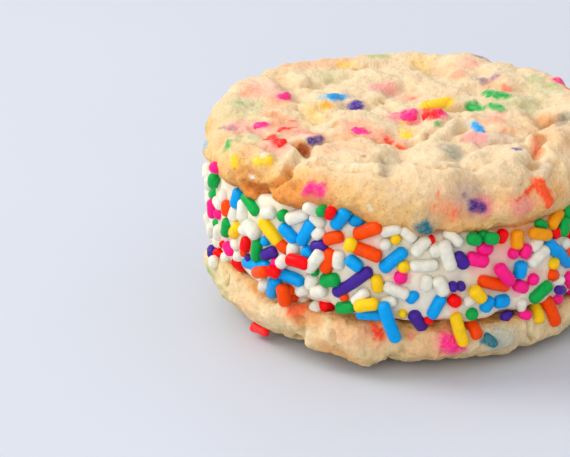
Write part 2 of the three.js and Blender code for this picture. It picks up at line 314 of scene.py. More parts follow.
def finish_piece(obj, name, material, node):
    """Brings a piece to metres, gives it its finish and fixes it to the body that it rides on."""
    make_active(obj)
    obj.name = name
    obj.data.name = name
    obj.scale = (MM, MM, MM)
    bpy.ops.object.transform_apply(location=True, rotation=True, scale=True)
    bpy.ops.object.shade_smooth()
    obj.data.materials.clear()
    obj.data.materials.append(material)
    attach(obj, "root")
    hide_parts(node)


# ---- what the camera sees
def camera_turn():
    turn = Matrix.Rotation(math.radians(CAMERA_TURN), 4, "Z")
    tilt = Matrix.Rotation(math.radians(90 - CAMERA_TILT), 4, "X")
    return turn @ tilt @ Matrix.Rotation(math.radians(CAMERA_ROLL), 4, "Z")


def seen_place(surface, across, down):
    """Where the camera sees a surface at a place of its frame."""
    scale = SENSOR / CAMERA_LENS / FRAME[0]
    aim = Vector(((across - FRAME[0] / 2) * scale, (FRAME[1] / 2 - down) * scale, -1))
    direction = (camera_turn() @ aim).normalized()
    hit = surface.ray_cast(CAMERA_PLACE, direction)[0]
    if hit is None:
        hit = surface.find_nearest(CAMERA_PLACE + CAMERA_PLACE.length * direction)[0]
    return hit


def seen_line(surface, places):
    """Close places on a surface along a line through places of the camera's frame: across, down, ..."""
    line = list(zip(places[::2], places[1::2]))
    if len(line) == 1:
        return [seen_place(surface, *line[0])]
    seen = []
    for start, end in zip(line, line[1:]):
        steps = max(1, round(math.dist(start, end) / SEEN_STEP))
        for share in np.linspace(0, 1, steps + 1):
            seen.append(seen_place(surface, *(np.array(start) * (1 - share) + np.array(end) * share)))
    return seen


# ---- dough
VOXEL = 0.345
CENTRE = 0.02  # share of the radius of the innermost ring
COOKIE_STEPS = 300
RIM = {"crown_width": 0.16, "lip_width": 0.05, "middle": 0.42, "rings": 16}
CROWN_RINGS = 48
RIM_LUMP_FADE = 8
CREASE_WANDER = (2.2, 0.7)
CREASE_LIP = {"height": 0.22, "out": 2.1}
SWELLING = {"height": 0.5, "least_strength": 0.84, "least_width": 0.75}

# How each dough is worked: rounds of smoothing before and after it is creased, and the size and distance
# of what pushes it out of shape.
UPPER_WORK = {
    "soften": 10, "shift": (8, 1.4), "lumps": (4.5, 0.9), "settle": 3, "crumb": [(2.2, 0.5), (0.9, 0.42)],
}
LOWER_WORK = {
    "soften": 8, "shift": (8, 1.0), "lumps": (4.5, 0.9), "settle": 0, "crumb": [(2.2, 0.8), (0.9, 0.45)],
}

# Creases of each cookie: half width and depth in millimetres, and the places of the frame (across, down)
# that each runs through. Where the depth is negative the dough is raised.
UPPER_FOLDS = [
    (1, 2.4, 301, 148, 306, 153), (0.8, 0.9, 285, 139, 296, 146, 303, 149),
    (0.8, 0.8, 306, 150, 318, 143, 335, 141, 352, 139, 370, 143, 388, 141, 400, 146, 413, 143),
    (0.7, 0.7, 413, 143, 424, 140, 428, 134, 439, 125, 449, 119, 463, 113),
    (0.8, 1.1, 288, 168, 297, 159, 309, 158, 321, 162, 337, 166, 357, 169, 372, 169, 383, 171),
    (0.9, 1.0, 385, 157, 388, 166, 390, 175), (0.45, 1.1, 418, 164, 431, 165, 443, 167, 463, 169),
    (0.9, 0.7, 463, 169, 479, 163, 493, 158), (1.6, 0.7, 470, 165, 481, 158, 491, 152),
    (0.5, 0.4, 481, 183, 507, 185, 522, 182),
    (1.2, 2.1, 545, 131, 544, 136, 537, 140, 534, 145, 536, 152, 536, 160, 531, 163),
    (0.6, 0.6, 539, 161, 549, 162, 559, 164), (1.5, 2.1, 545, 130, 550, 127, 557, 123, 566, 118),
    (1.5, 0.8, 529, 111, 535, 118, 542, 122), (0.9, 0.8, 464, 129, 457, 133, 450, 138),
    (0.7, 0.6, 484, 129, 499, 130, 512, 131, 517, 135), (0.5, 0.4, 494, 144, 510, 144, 514, 148),
    (1.3, 0.8, 442, 109, 457, 111, 468, 108), (1.6, 1.2, 278, 75, 287, 82, 296, 90, 302, 99),
    (1.3, 0.8, 312, 89, 337, 79, 358, 74), (2.2, 0.9, 425, 70, 445, 74, 463, 78, 474, 73),
    (2, 0.8, 522, 91, 534, 98, 545, 103, 557, 99), (0.6, 0.9, 335, 123, 336, 125), (0.5, 0.6, 427, 136),
    (0.6, 0.5, 262, 112, 274, 116, 285, 120),
    (0.6, 0.7, 221, 128, 227, 127, 235, 129, 240, 134, 244, 140, 256, 142, 268, 147, 283, 152),
    (0.6, 0.6, 252, 128, 260, 134, 266, 139), (0.8, 0.7, 381, 101, 390, 108, 403, 112),
    (0.6, 1.3, 246, 184, 254, 187, 262, 189, 270, 189, 276, 185, 284, 180, 289, 172),
    (0.6, 0.7, 287, 170, 292, 180, 302, 187), (0.4, 0.5, 281, 203), (0.4, 0.5, 288, 200),
    (0.4, 0.4, 279, 193, 281, 191), (0.35, 0.4, 293, 204), (0.6, -0.5, 270, 195, 272, 199),
    (2.2, -0.7, 280, 199, 288, 196, 297, 197), (1.3, -0.9, 250, 189, 257, 191, 264, 193),
    (1.7, -0.9, 418, 224, 427, 225), (1.6, -0.6, 235, 158, 236, 165), (1.5, -0.7, 262, 158),
]
LOWER_FOLDS = [
    (0.6, 0.8, 224, 268, 228, 276, 227, 284), (1, 1.4, 300, 321, 301, 329, 303, 337),
    (2.5, -1.1, 314, 341, 326, 346, 340, 350, 352, 353), (0.45, 0.6, 401, 344, 402, 355),
    (0.45, 0.7, 528, 325, 530, 342), (0.5, 0.5, 440, 338, 443, 350), (0.6, 0.5, 330, 330, 338, 345),
    (2.2, -1.0, 345, 357, 372, 358), (1.6, -0.7, 243, 276, 262, 284), (1.6, -0.6, 272, 318, 290, 322),
    (0.7, 0.6, 258, 290, 275, 300), (0.6, 0.5, 390, 328, 395, 340), (2, -0.6, 415, 352, 435, 354),
]

# Marks of sprinkles that melted into the dough and of its browning, under their half width in
# millimetres, widest first: colour, strength, and the places of the frame that each runs through. The
# brown and golden marks in cracks and pits are browning and painted shade.
UPPER_MARKS = {
    4: [
        ("pink", 0.16, 262, 89, 275, 88), ("peach", 0.25, 328, 146, 350, 147),
        # This wide golden mark darkens the right of the crown: painted shade, with the browning of its crack.
        ("golden", 0.25, 535, 128, 555, 134),
    ],
    3.4: [("green", 0.16, 228, 104, 252, 107), ("green", 0.2, 512, 99, 526, 101)],
    3.2: [("peach", 0.5, 314, 192)],
    3: [
        ("red", 0.3, 284, 126, 292, 130), ("green", 0.16, 236, 134, 250, 140),
        ("purple", 0.15, 488, 139, 503, 139), ("green", 0.2, 545, 90), ("green", 0.15, 330, 78),
        ("purple", 0.28, 468, 199, 475, 202),
    ],
    2.8: [("red", 0.28, 357, 126, 364, 131), ("golden", 0.75, 276, 197, 286, 195, 297, 199)],
    2.6: [
        ("pink", 0.3, 400, 115, 414, 117), ("peach", 0.4, 290, 64, 325, 62, 348, 60),
        ("peach", 0.25, 512, 204, 530, 208),
    ],
    2.4: [
        ("peach", 0.45, 279, 102), ("pink", 0.28, 238, 129, 256, 130), ("yellow", 0.25, 314, 120),
        ("pink", 0.2, 468, 64), ("yellow", 0.3, 420, 64), ("peach", 0.4, 442, 206, 453, 216),
    ],
    2.2: [
        ("pink", 0.25, 270, 143, 281, 146), ("teal", 0.3, 450, 146, 453, 154), ("peach", 0.4, 494, 83),
        ("teal", 0.3, 420, 222, 426, 221), ("golden", 0.35, 243, 176, 240, 186),
    ],
    2: [
        ("peach", 0.35, 250, 149), ("pink", 0.35, 379, 87, 389, 87), ("peach", 0.35, 345, 134),
        ("red", 0.25, 385, 135), ("red", 0.28, 410, 98), ("red", 0.28, 396, 144), ("pink", 0.2, 496, 115),
        ("red", 0.3, 491, 119, 495, 121), ("rose", 0.4, 484, 206),
    ],
    1.8: [
        ("red", 0.22, 254, 90), ("pink", 0.3, 282, 96), ("peach", 0.3, 219, 140), ("sky", 0.45, 325, 96),
        ("yellow", 0.22, 311, 106), ("purple", 0.2, 354, 107), ("pink", 0.3, 306, 132),
        ("pink", 0.35, 471, 137, 477, 138), ("golden", 0.45, 538, 121, 546, 123), ("peach", 0.35, 506, 130),
        ("orange", 0.35, 447, 53), ("yellow", 0.45, 345, 65), ("rose", 0.55, 519, 206, 527, 204),
        ("teal", 0.22, 388, 165, 389, 172), ("golden", 0.35, 330, 212, 350, 220, 370, 224),
    ],
    1.6: [
        ("pink", 0.4, 399, 114), ("yellow", 0.4, 405, 129), ("teal", 0.24, 452, 151),
        ("purple", 0.2, 541, 168), ("green", 0.35, 374, 56, 382, 56), ("green", 0.3, 537, 67),
        ("pink", 0.3, 483, 205), ("golden", 0.5, 560, 192), ("golden", 0.4, 214, 165, 222, 178),
    ],
    1.4: [
        ("peach", 0.5, 246, 94), ("golden", 0.8, 300, 147, 306, 153), ("purple", 0.35, 316, 142),
        ("red", 0.4, 314, 133), ("golden", 0.7, 539, 136), ("purple", 0.5, 480, 57, 490, 57),
        ("pink", 0.6, 314, 192), ("red", 0.22, 447, 210, 453, 213),
    ],
    1.3: [("yellow", 1, 426, 105, 436, 103, 448, 101), ("golden", 0.9, 249, 189, 262, 193)],
    1.2: [
        ("peach", 0.5, 253, 121), ("peach", 0.5, 274, 124), ("purple", 0.25, 306, 152),
        ("yellow", 0.75, 326, 105), ("purple", 0.95, 356, 102, 359, 106),
        ("pink", 0.95, 436, 114, 441, 112), ("sky", 0.35, 471, 123), ("teal", 0.5, 561, 123, 567, 118),
        ("orange", 0.4, 536, 141, 537, 147), ("green", 0.45, 553, 84),
        ("golden", 0.6, 272, 186, 283, 179, 288, 172),
    ],
    1.15: [("plum", 1, 474, 204, 480, 207), ("orange", 1, 537, 184, 542, 187, 547, 195, 550, 203)],
    1.1: [
        ("orange", 0.9, 427, 110, 430, 112), ("yellow", 0.95, 406, 134, 407, 136), ("orange", 0.8, 568, 88),
        ("teal", 1, 420, 230, 426, 228, 427, 232), ("yellow", 0.95, 261, 161, 265, 159),
    ],
    1: [
        ("green", 0.55, 240, 102), ("red", 0.9, 267, 139, 273, 136, 278, 141),
        ("red", 0.95, 429, 115, 434, 115), ("pink", 0.95, 404, 113, 409, 115, 413, 110),
        ("green", 0.95, 485, 92, 495, 94, 506, 96), ("red", 0.55, 505, 90), ("pink", 0.9, 558, 80, 562, 81),
        ("pink", 0.9, 312, 186, 307, 191), ("brown", 0.45, 290, 205, 300, 208),
        ("yellow", 0.95, 234, 158, 235, 165),
    ],
    0.95: [("blue", 1, 334, 97, 341, 96)],
    0.9: [
        ("pink", 0.9, 285, 96, 288, 94), ("peach", 0.6, 267, 114, 275, 116, 284, 119),
        ("pink", 0.95, 261, 124, 264, 124), ("green", 0.85, 228, 143, 228, 147),
        ("orange", 0.35, 327, 105, 329, 106), ("pink", 0.95, 361, 129, 365, 132), ("pink", 0.95, 409, 118),
        ("yellow", 0.7, 403, 124), ("green", 0.85, 469, 107, 475, 104, 481, 109),
        ("green", 0.9, 491, 105, 497, 107, 501, 109), ("blue", 1, 474, 123, 478, 129),
        ("pink", 0.85, 320, 187, 322, 192),
    ],
    0.8: [
        ("brown", 1, 301, 148, 305, 152), ("golden", 0.7, 336, 124), ("green", 0.85, 437, 123),
        ("orange", 0.3, 536, 152, 536, 159), ("sky", 0.8, 205, 142, 205, 146),
    ],
    0.75: [("purple", 0.9, 311, 141, 316, 139, 321, 140)],
    0.7: [
        ("teal", 0.3, 350, 97), ("red", 0.9, 387, 139, 390, 142), ("orange", 0.95, 399, 147, 403, 149),
        ("peach", 0.6, 311, 197), ("brown", 0.85, 249, 186, 258, 189, 268, 190), ("white", 0.6, 264, 154),
    ],
    0.6: [
        ("purple", 0.4, 222, 128, 228, 127, 236, 129), ("purple", 0.7, 350, 107, 353, 104),
        ("orange", 0.75, 413, 99), ("purple", 0.95, 514, 148, 518, 149), ("white", 0.5, 370, 207),
    ],
    0.5: [
        ("red", 1, 279, 130, 284, 127, 289, 128, 294, 127), ("brown", 0.7, 388, 140),
        ("brown", 0.6, 427, 134, 427, 138), ("plum", 0.6, 463, 196), ("orange", 0.95, 534, 187, 527, 193),
        ("orange", 0.55, 433, 206), ("teal", 0.85, 427, 221, 429, 225),
    ],
    0.45: [("orange", 0.6, 437, 191, 437, 197), ("white", 0.9, 251, 176, 252, 178)],
    0.4: [
        ("red", 0.7, 291, 121, 295, 121), ("orange", 0.8, 527, 193, 517, 199),
        ("orange", 0.25, 516, 199, 509, 202), ("orange", 0.7, 454, 211, 454, 215),
    ],
    0.35: [
        ("brown", 0.7, 364, 156), ("orange", 0.5, 454, 221), ("brown", 0.6, 281, 203),
        ("brown", 0.6, 288, 200), ("brown", 0.5, 279, 193),
    ],
    0.3: [("brown", 0.5, 293, 204)],
}
LOWER_MARKS = {
    3.4: [("green", 0.12, 215, 280, 224, 292)],
    3: [("pink", 0.45, 453, 344)],
    2.8: [("peach", 0.35, 345, 325, 352, 333)],
    2.6: [("teal", 0.2, 494, 341, 508, 339), ("peach", 0.12, 236, 296, 250, 301)],
    2.4: [
        ("peach", 0.5, 290, 312, 310, 310), ("peach", 0.6, 373, 327, 378, 336),
        ("golden", 0.4, 326, 347, 345, 355),
    ],
    2.2: [("sky", 0.25, 495, 341, 503, 341)],
    2: [
        ("peach", 0.22, 248, 311), ("golden", 0.35, 415, 352, 450, 356),
        # This golden mark below the edge of the ice cream is browning and painted shade.
        ("golden", 0.35, 360, 316, 400, 327, 440, 331),
    ],
    1.8: [("pink", 1, 449, 343, 457, 347)],
    1.4: [("golden", 0.5, 256, 286, 275, 297), ("golden", 0.5, 300, 318, 318, 322)],
    1.3: [("orange", 0.7, 293, 311, 302, 308)],
    0.9: [("teal", 0.9, 485, 340, 488, 343)],
    0.8: [("orange", 0.4, 411, 336)],
    0.6: [
        ("orange", 0.9, 372, 323, 378, 330), ("red", 0.8, 375, 331, 381, 334),
        ("orange", 0.7, 377, 336, 382, 339),
    ],
}

# Marks on the side that the camera doesn't see: degrees round, height, half width, colour, strength.
UPPER_MARKS_BEHIND = [
    (75, 30, 1.4, "blue", 0.7), (98, 29, 1.2, "pink", 0.8), (120, 31, 1.8, "green", 0.5),
    (142, 29.5, 1.2, "yellow", 0.8), (171, 30, 1.6, "red", 0.55), (196, 29, 1.2, "purple", 0.7),
    (221, 31, 1.8, "pink", 0.6), (243, 29.5, 1.2, "orange", 0.7), (262, 31, 1.6, "green", 0.5),
    (108, 30, 3, "peach", 0.35), (182, 29, 3, "golden", 0.4), (232, 30, 3, "peach", 0.35),
]
LOWER_MARKS_BEHIND = [
    (62, 5, 1.2, "green", 0.7), (84, 6, 1.6, "pink", 0.8), (108, 4.5, 1.2, "blue", 0.7),
    (131, 6, 1.6, "orange", 0.6), (155, 5, 1.2, "purple", 0.6), (182, 6.2, 1.8, "pink", 0.7),
    (206, 5, 1.2, "yellow", 0.8), (231, 6, 1.4, "red", 0.7), (256, 6.4, 1.6, "blue", 0.6),
    (281, 8, 1.2, "green", 0.5), (95, 5, 3, "peach", 0.4), (170, 6, 3, "golden", 0.4),
]


def cookie_profile():
    """From the middle of the baked face, round the rim, to the middle of the crown."""
    middle, width, lip_width = RIM["middle"], RIM["crown_width"], RIM["lip_width"]
    quarter = np.linspace(0, math.pi / 2, RIM["rings"])
    face = [(out, 0) for out in (CENTRE, 0.3, 0.6, 0.8)]
    lip = [(1 - lip_width + lip_width * math.sin(a), middle * (1 - math.cos(a))) for a in quarter]
    rim = [(1 - width + width * math.cos(a), middle + (1 - middle) * math.sin(a)) for a in quarter]
    crown = [(out, 1) for out in np.linspace(1 - width, CENTRE, CROWN_RINGS)]
    return face + lip + rim[1:] + crown[1:]


def highest_mound(mounds, x, y):
    """How high the mounds stand at each place above what lies between them."""
    height = np.zeros(np.shape(x))
    for cx, cy, half_length, half_width, turn, rise, start in mounds:
        cos, sin = math.cos(math.radians(turn)), math.sin(math.radians(turn))
        along = ((x - cx) * cos + (y - cy) * sin) / half_length
        across = ((y - cy) * cos - (x - cx) * sin) / half_width
        inside = 1 - along**2 - across**2
        height = np.maximum(height, np.where(inside > 0, start + rise * np.sqrt(np.maximum(inside, 0)), 0))
    return height


def crown_lumps(shape, lobes):
    draws = seeded_draws(shape["seed"])
    lumps = []
    for _ in range(shape["count"]):
        out = shape["reach"] * math.sqrt(next(draws))
        angle = math.radians(FULL_TURN * next(draws))
        x, y = out * math.sin(angle), -out * math.cos(angle)
        length, width = between(shape["half"], draws), between(shape["half"], draws)
        turn, rise = FULL_TURN * next(draws), between(shape["rise"], draws)
        lumps.append((x, y, length, width, turn, rise, float(highest_mound(lobes, x, y))))
    return lumps


UPPER_MOUNDS = [(*lobe, 0) for lobe in UPPER_LOBES]
UPPER_MOUNDS += crown_lumps(CROWN_LUMPS, UPPER_MOUNDS)


def rim_lumps(shape):
    """Lumps on the unrolled rim: millimetres round it, share of the height, halves, turn, rise and start."""
    draws = seeded_draws(shape["seed"])
    lumps = []
    for i in range(shape["count"]):
        along = math.radians(FULL_TURN * (i + next(draws)) / shape["count"]) * COOKIE_RADIUS
        up = between(shape["up"], draws)
        half, high = between(shape["half"], draws), between(RIM_LUMP_HEIGHT, draws)
        lumps.append((along, up, half, high, 0, between(shape["rise"], draws), 0))
    return lumps


def cookie_body(face, crown, waves, lumps):
    """A cookie from its baked face to its crown, in the solid's form."""
    whole = 2 * math.pi * COOKIE_RADIUS

    def place(x, y, up):
        out, degrees = np.hypot(x, y), degrees_round(x, y)
        along = np.radians(degrees) * COOKIE_RADIUS % whole
        swell = np.maximum(highest_mound(lumps, along, up), highest_mound(lumps, along + whole, up))
        radius = out * (COOKIE_RADIUS - RIM_SETBACK) * waviness(waves, degrees) + out**RIM_LUMP_FADE * swell
        x, y = radius * np.sin(np.radians(degrees)), -radius * np.cos(np.radians(degrees))
        return np.stack([x, y, face(x, y) + (crown(x, y) - face(x, y)) * up], axis=1)

    return turned_body(cookie_profile(), COOKIE_STEPS, place)


def swellings(marks):
    """The dough stands up a little where a sprinkle melted close under its surface."""
    return [
        (width, -SWELLING["height"] * width, *places)
        for width, group in marks.items() if width > SWELLING["least_width"]
        for _, strength, *places in group if strength > SWELLING["least_strength"]
    ]


def fold(obj, folds):
    """Presses creases into a surface along its normals, each with raised lips; a negative depth raises it."""
    surface = surface_of(obj)
    points, normals = points_of(obj), normals_of(obj)
    places = wander(points, *CREASE_WANDER)
    pressed = np.zeros(len(points))
    for width, depth, *line in folds:
        away = distance_to(places, seen_line(surface, line)) / width
        lip = CREASE_LIP["height"] * np.exp(-((away - CREASE_LIP["out"]) ** 2))
        pressed += depth * (np.exp(-(away**2)) - lip)
    set_points(obj, points - normals * pressed[:, None])


def dough(body, work, folds):
    """Turns the plain form of a cookie into one skin of soft, creased and crumbly dough."""
    remesh(body, VOXEL)
    soften(body, work["soften"])
    distort(body, *work["shift"])
    roughen(body, *work["lumps"])
    fold(body, folds)
    if work["settle"]:
        soften(body, work["settle"])
    for size, height in work["crumb"]:
        roughen(body, size, height)
    points = points_of(body)
    points[:, 2] = np.maximum(points[:, 2], 0)
    set_points(body, points)
    return body


def upper_dough():
    body = cookie_body(upper_face, upper_crown, UPPER_WAVES, rim_lumps(UPPER_RIM_LUMPS))
    return dough(body, UPPER_WORK, UPPER_FOLDS + swellings(UPPER_MARKS))


def lower_dough():
    body = cookie_body(lower_face, lower_crown, LOWER_WAVES, rim_lumps(LOWER_RIM_LUMPS))
    return dough(body, LOWER_WORK, LOWER_FOLDS + swellings(LOWER_MARKS))


# ---- colours in the dough
# Browning everywhere, and more of it at a place: centre and half width in degrees round, and share.
BAKED_SIDE = (0.3, (-38, 40, 0.2), (170, 120, 0.2))
BROWNED_LIP = (0.22, (-43, 16, 0.2))
# Along the lower cookie's top edge, under the ice cream: browning and painted shade.
BROWNED_AND_SHADED_EDGE = (0.3, (22, 28, 0.3))
# Where it begins or fades: in millimetres from the middle, above the lip or below the baked face.
SIDE_BEGINS = (27, 33.5)
SIDE_FADES = (0.5, 9)
LIP_FADES = (0.2, 1.8)
EDGE_FADES = (-0.4, 1.4)
UNDER_SHADE_BEGINS = (3, 9)
SIDE_FADED = 0.75
# The lower cookie darkens towards its underside: painted shade on top of its browning.
UNDER_TOAST_AND_SHADE = (0.05, 0.2)  # everywhere, and more of it towards the underside
LIP_RAGGED = (2.5, 0.5)  # size and distance
EDGE_RAGGED = (2, 0.6)
# Hollows are darkened and peaks lightened by how deep each point lies: browning and painted shade.
PIT_ROUNDS = 24
PIT_BROWNING_AND_SHADE = {"share": 0.26, "limits": (-0.4, 0.9)}

# Ragged edges of the marks: size and distance, size and share, and where they fade, in half widths.
MARK_WANDER = [(1.4, 0.55), (0.5, 0.25)]
MARK_GRAIN = (0.55, 0.35)
MARK_FADE = (0.4, 1.5)
BEYOND = 60  # further from the middle than anything


def rim_point(surface, degrees, height):
    outward = side_point(degrees, 1, 0)
    hit = surface.ray_cast(BEYOND * outward + Vector((0, 0, height)), -outward)[0]
    return hit or COOKIE_RADIUS * outward + Vector((0, 0, height))


def pit_browning_and_shade(obj):
    """Browning and painted shade by how far each point lies below the smoothed form around it: darker in
    hollows, lighter on peaks.
    """
    make_active(obj)
    bpy.ops.object.duplicate()
    smoothed = bpy.context.object
    soften(smoothed, PIT_ROUNDS)
    depth = np.sum((points_of(smoothed) - points_of(obj)) * normals_of(obj), axis=1)
    bpy.data.objects.remove(smoothed)
    return PIT_BROWNING_AND_SHADE["share"] * depth.clip(*PIT_BROWNING_AND_SHADE["limits"])


def paint(obj, toast_and_shade, marks, behind):
    """Stores how browned each point is, with painted shade in its hollows, and the colour and strength of the
    marks on it.
    """
    surface, points = surface_of(obj), points_of(obj)
    (size, distance), (fine_size, fine_distance) = MARK_WANDER
    places = wander(points, size, distance) + wander(points, fine_size, fine_distance) - points
    grain_size, grain_share = MARK_GRAIN
    grain = 1 + grain_share * noise_at(points, grain_size)
    runs = [
        (width, colour, strength, seen_line(surface, line))
        for width, group in marks.items() for colour, strength, *line in group
    ]
    for at, up, width, colour, strength in behind:
        runs.append((width, colour, strength, [rim_point(surface, at, up)]))
    shown = np.zeros((len(points), 4))
    full, none = MARK_FADE
    for width, colour, strength, line in sorted(runs, key=lambda run: -run[0]):
        away = distance_to(places, line)
        share = (strength * (1 - step_between(full * width, none * width, away)) * grain).clip(0, 1)[:, None]
        under = shown[:, 3:] * (1 - share)
        total = np.maximum(under + share, 1e-6)
        shown[:, :3] = (shown[:, :3] * under + linear(MARK[colour]) * share) / total
        shown[:, 3:] = under + share
    store_colours(obj, "stain_and_shade", shown)
    # The stored browning carries the painted shade of the hollows.
    obj.data.attributes.new("toast_and_shade", "FLOAT", "POINT").data.foreach_set("value", toast_and_shade + pit_browning_and_shade(obj))


def browning(shares, degrees):
    everywhere, *places = shares
    return everywhere + sum(bump(place, degrees) for place in places)


def raggedness(points, size, distance):
    return distance * noise_at(points, size)


def paint_upper(obj):
    points = points_of(obj)
    x, y, z = points.T
    degrees, above_lip = degrees_round(x, y), z - upper_face(x, y)
    toast_and_shade = step_between(*SIDE_BEGINS, np.hypot(x, y)) * browning(BAKED_SIDE, degrees)
    toast_and_shade *= 1 - SIDE_FADED * step_between(*SIDE_FADES, above_lip)
    above_lip += raggedness(points, *LIP_RAGGED)
    toast_and_shade += browning(BROWNED_LIP, degrees) * (1 - step_between(*LIP_FADES, above_lip))
    paint(obj, toast_and_shade, UPPER_MARKS, UPPER_MARKS_BEHIND)


def paint_lower(obj):
    points = points_of(obj)
    x, y, z = points.T
    below_face = lower_face(x, y) - z
    # Browning everywhere, with painted shade growing towards the underside.
    everywhere, below = UNDER_TOAST_AND_SHADE
    toast_and_shade = everywhere + below * step_between(*UNDER_SHADE_BEGINS, below_face)
    below_face += raggedness(points, *EDGE_RAGGED)
    # Browning and painted shade along the top edge, under the ice cream.
    toast_and_shade += browning(BROWNED_AND_SHADED_EDGE, degrees_round(x, y)) * (1 - step_between(*EDGE_FADES, below_face))
    paint(obj, toast_and_shade, LOWER_MARKS, LOWER_MARKS_BEHIND)


# ---- ice cream
CORE_STEPS = 240
CORE_VOXEL = 0.45
CORE_OVERLAP = 0.5  # into each cookie
EDGE_LIFT = 1.3
EDGE_SCALLOPS = [(11, 0.5, 40), (23, 0.35, 200), (41, 0.25, 10)]  # waves round, share, start
EDGE_BEGINS = (0.88, 0.97)  # shares of the radius
CORE_SOFTENING = 3
CORE_ROUGHNESS = [(5, 1.0), (1.6, 0.3)]  # sizes and heights
WARM_TINTS = {"pink": 0.52, "red": 0.44, "orange": 0.38}
COOL_TINT = 0.1
TINT_REACH = 4.5
# Painted shade under the upper lip, warm in tone: centre, half width, and share; strength, and how far down
# it fades.
UNDER_LIP_PAINTED_SHADE = (34, 26, 1)
UNDER_LIP_SHADE_STRENGTH = 0.75
UNDER_LIP_SHADE_FADES = (0.5, 5)


def ice_cream():
    def place(x, y, up):
        degrees, out = degrees_round(x, y), np.hypot(x, y)
        radius = filling_radius(degrees, up)
        x, y = x * radius, y * radius
        scallops = EDGE_LIFT * (1 + waviness(EDGE_SCALLOPS, degrees)) / 2
        low = lower_face(x, y) - CORE_OVERLAP + scallops * step_between(*EDGE_BEGINS, out)
        high = upper_face(x, y) + CORE_OVERLAP
        return np.stack([x, y, low + (high - low) * up], axis=1)

    profile = [(CENTRE, 0), (0.8, 0), (0.9, 0), (0.95, 0), (0.985, 0.02)]
    profile += [(1, up) for up in np.linspace(0.08, 0.96, 12)] + [(0.97, 1), (0.8, 1), (CENTRE, 1)]
    body = turned_body(profile, CORE_STEPS, place)
    remesh(body, CORE_VOXEL)
    soften(body, CORE_SOFTENING)
    for size, height in CORE_ROUGHNESS:
        roughen(body, size, height)
    return body


def paint_ice_cream(obj, pile):
    """Tints the ice cream a little with the colour of the sprinkles that lie on it, and paints a warm shade
    under the upper lip.
    """
    points = points_of(obj)
    tree = KDTree(sum(len(rods) for rods in pile.placed.values()))
    tints = []
    for name, rods in pile.placed.items():
        for start, end, _, _ in rods:
            tree.insert((start + end) / 2, len(tints))
            tints.append((*linear(SUGAR[name]), WARM_TINTS.get(name, COOL_TINT)))
    tree.balance()
    colour = np.zeros((len(points), 4))
    for i, point in enumerate(points):
        _, nearest, distance = tree.find(point)
        colour[i] = tints[nearest]
        colour[i, 3] *= max(0, 1 - distance / TINT_REACH)
    x, y, z = points.T
    # Painted shade under the upper lip, in the golden colour of the marks.
    shade_fading = 1 - step_between(*UNDER_LIP_SHADE_FADES, upper_face(x, y) - z)
    painted_shade = (bump(UNDER_LIP_PAINTED_SHADE, degrees_round(x, y)) * shade_fading).clip(0, 1)[:, None]
    colour[:, :3] = colour[:, :3] * (1 - painted_shade) + linear(MARK["golden"]) * painted_shade
    colour[:, 3:] = colour[:, 3:] * (1 - painted_shade) + UNDER_LIP_SHADE_STRENGTH * painted_shade
    store_colours(obj, "stain_and_shade", colour)


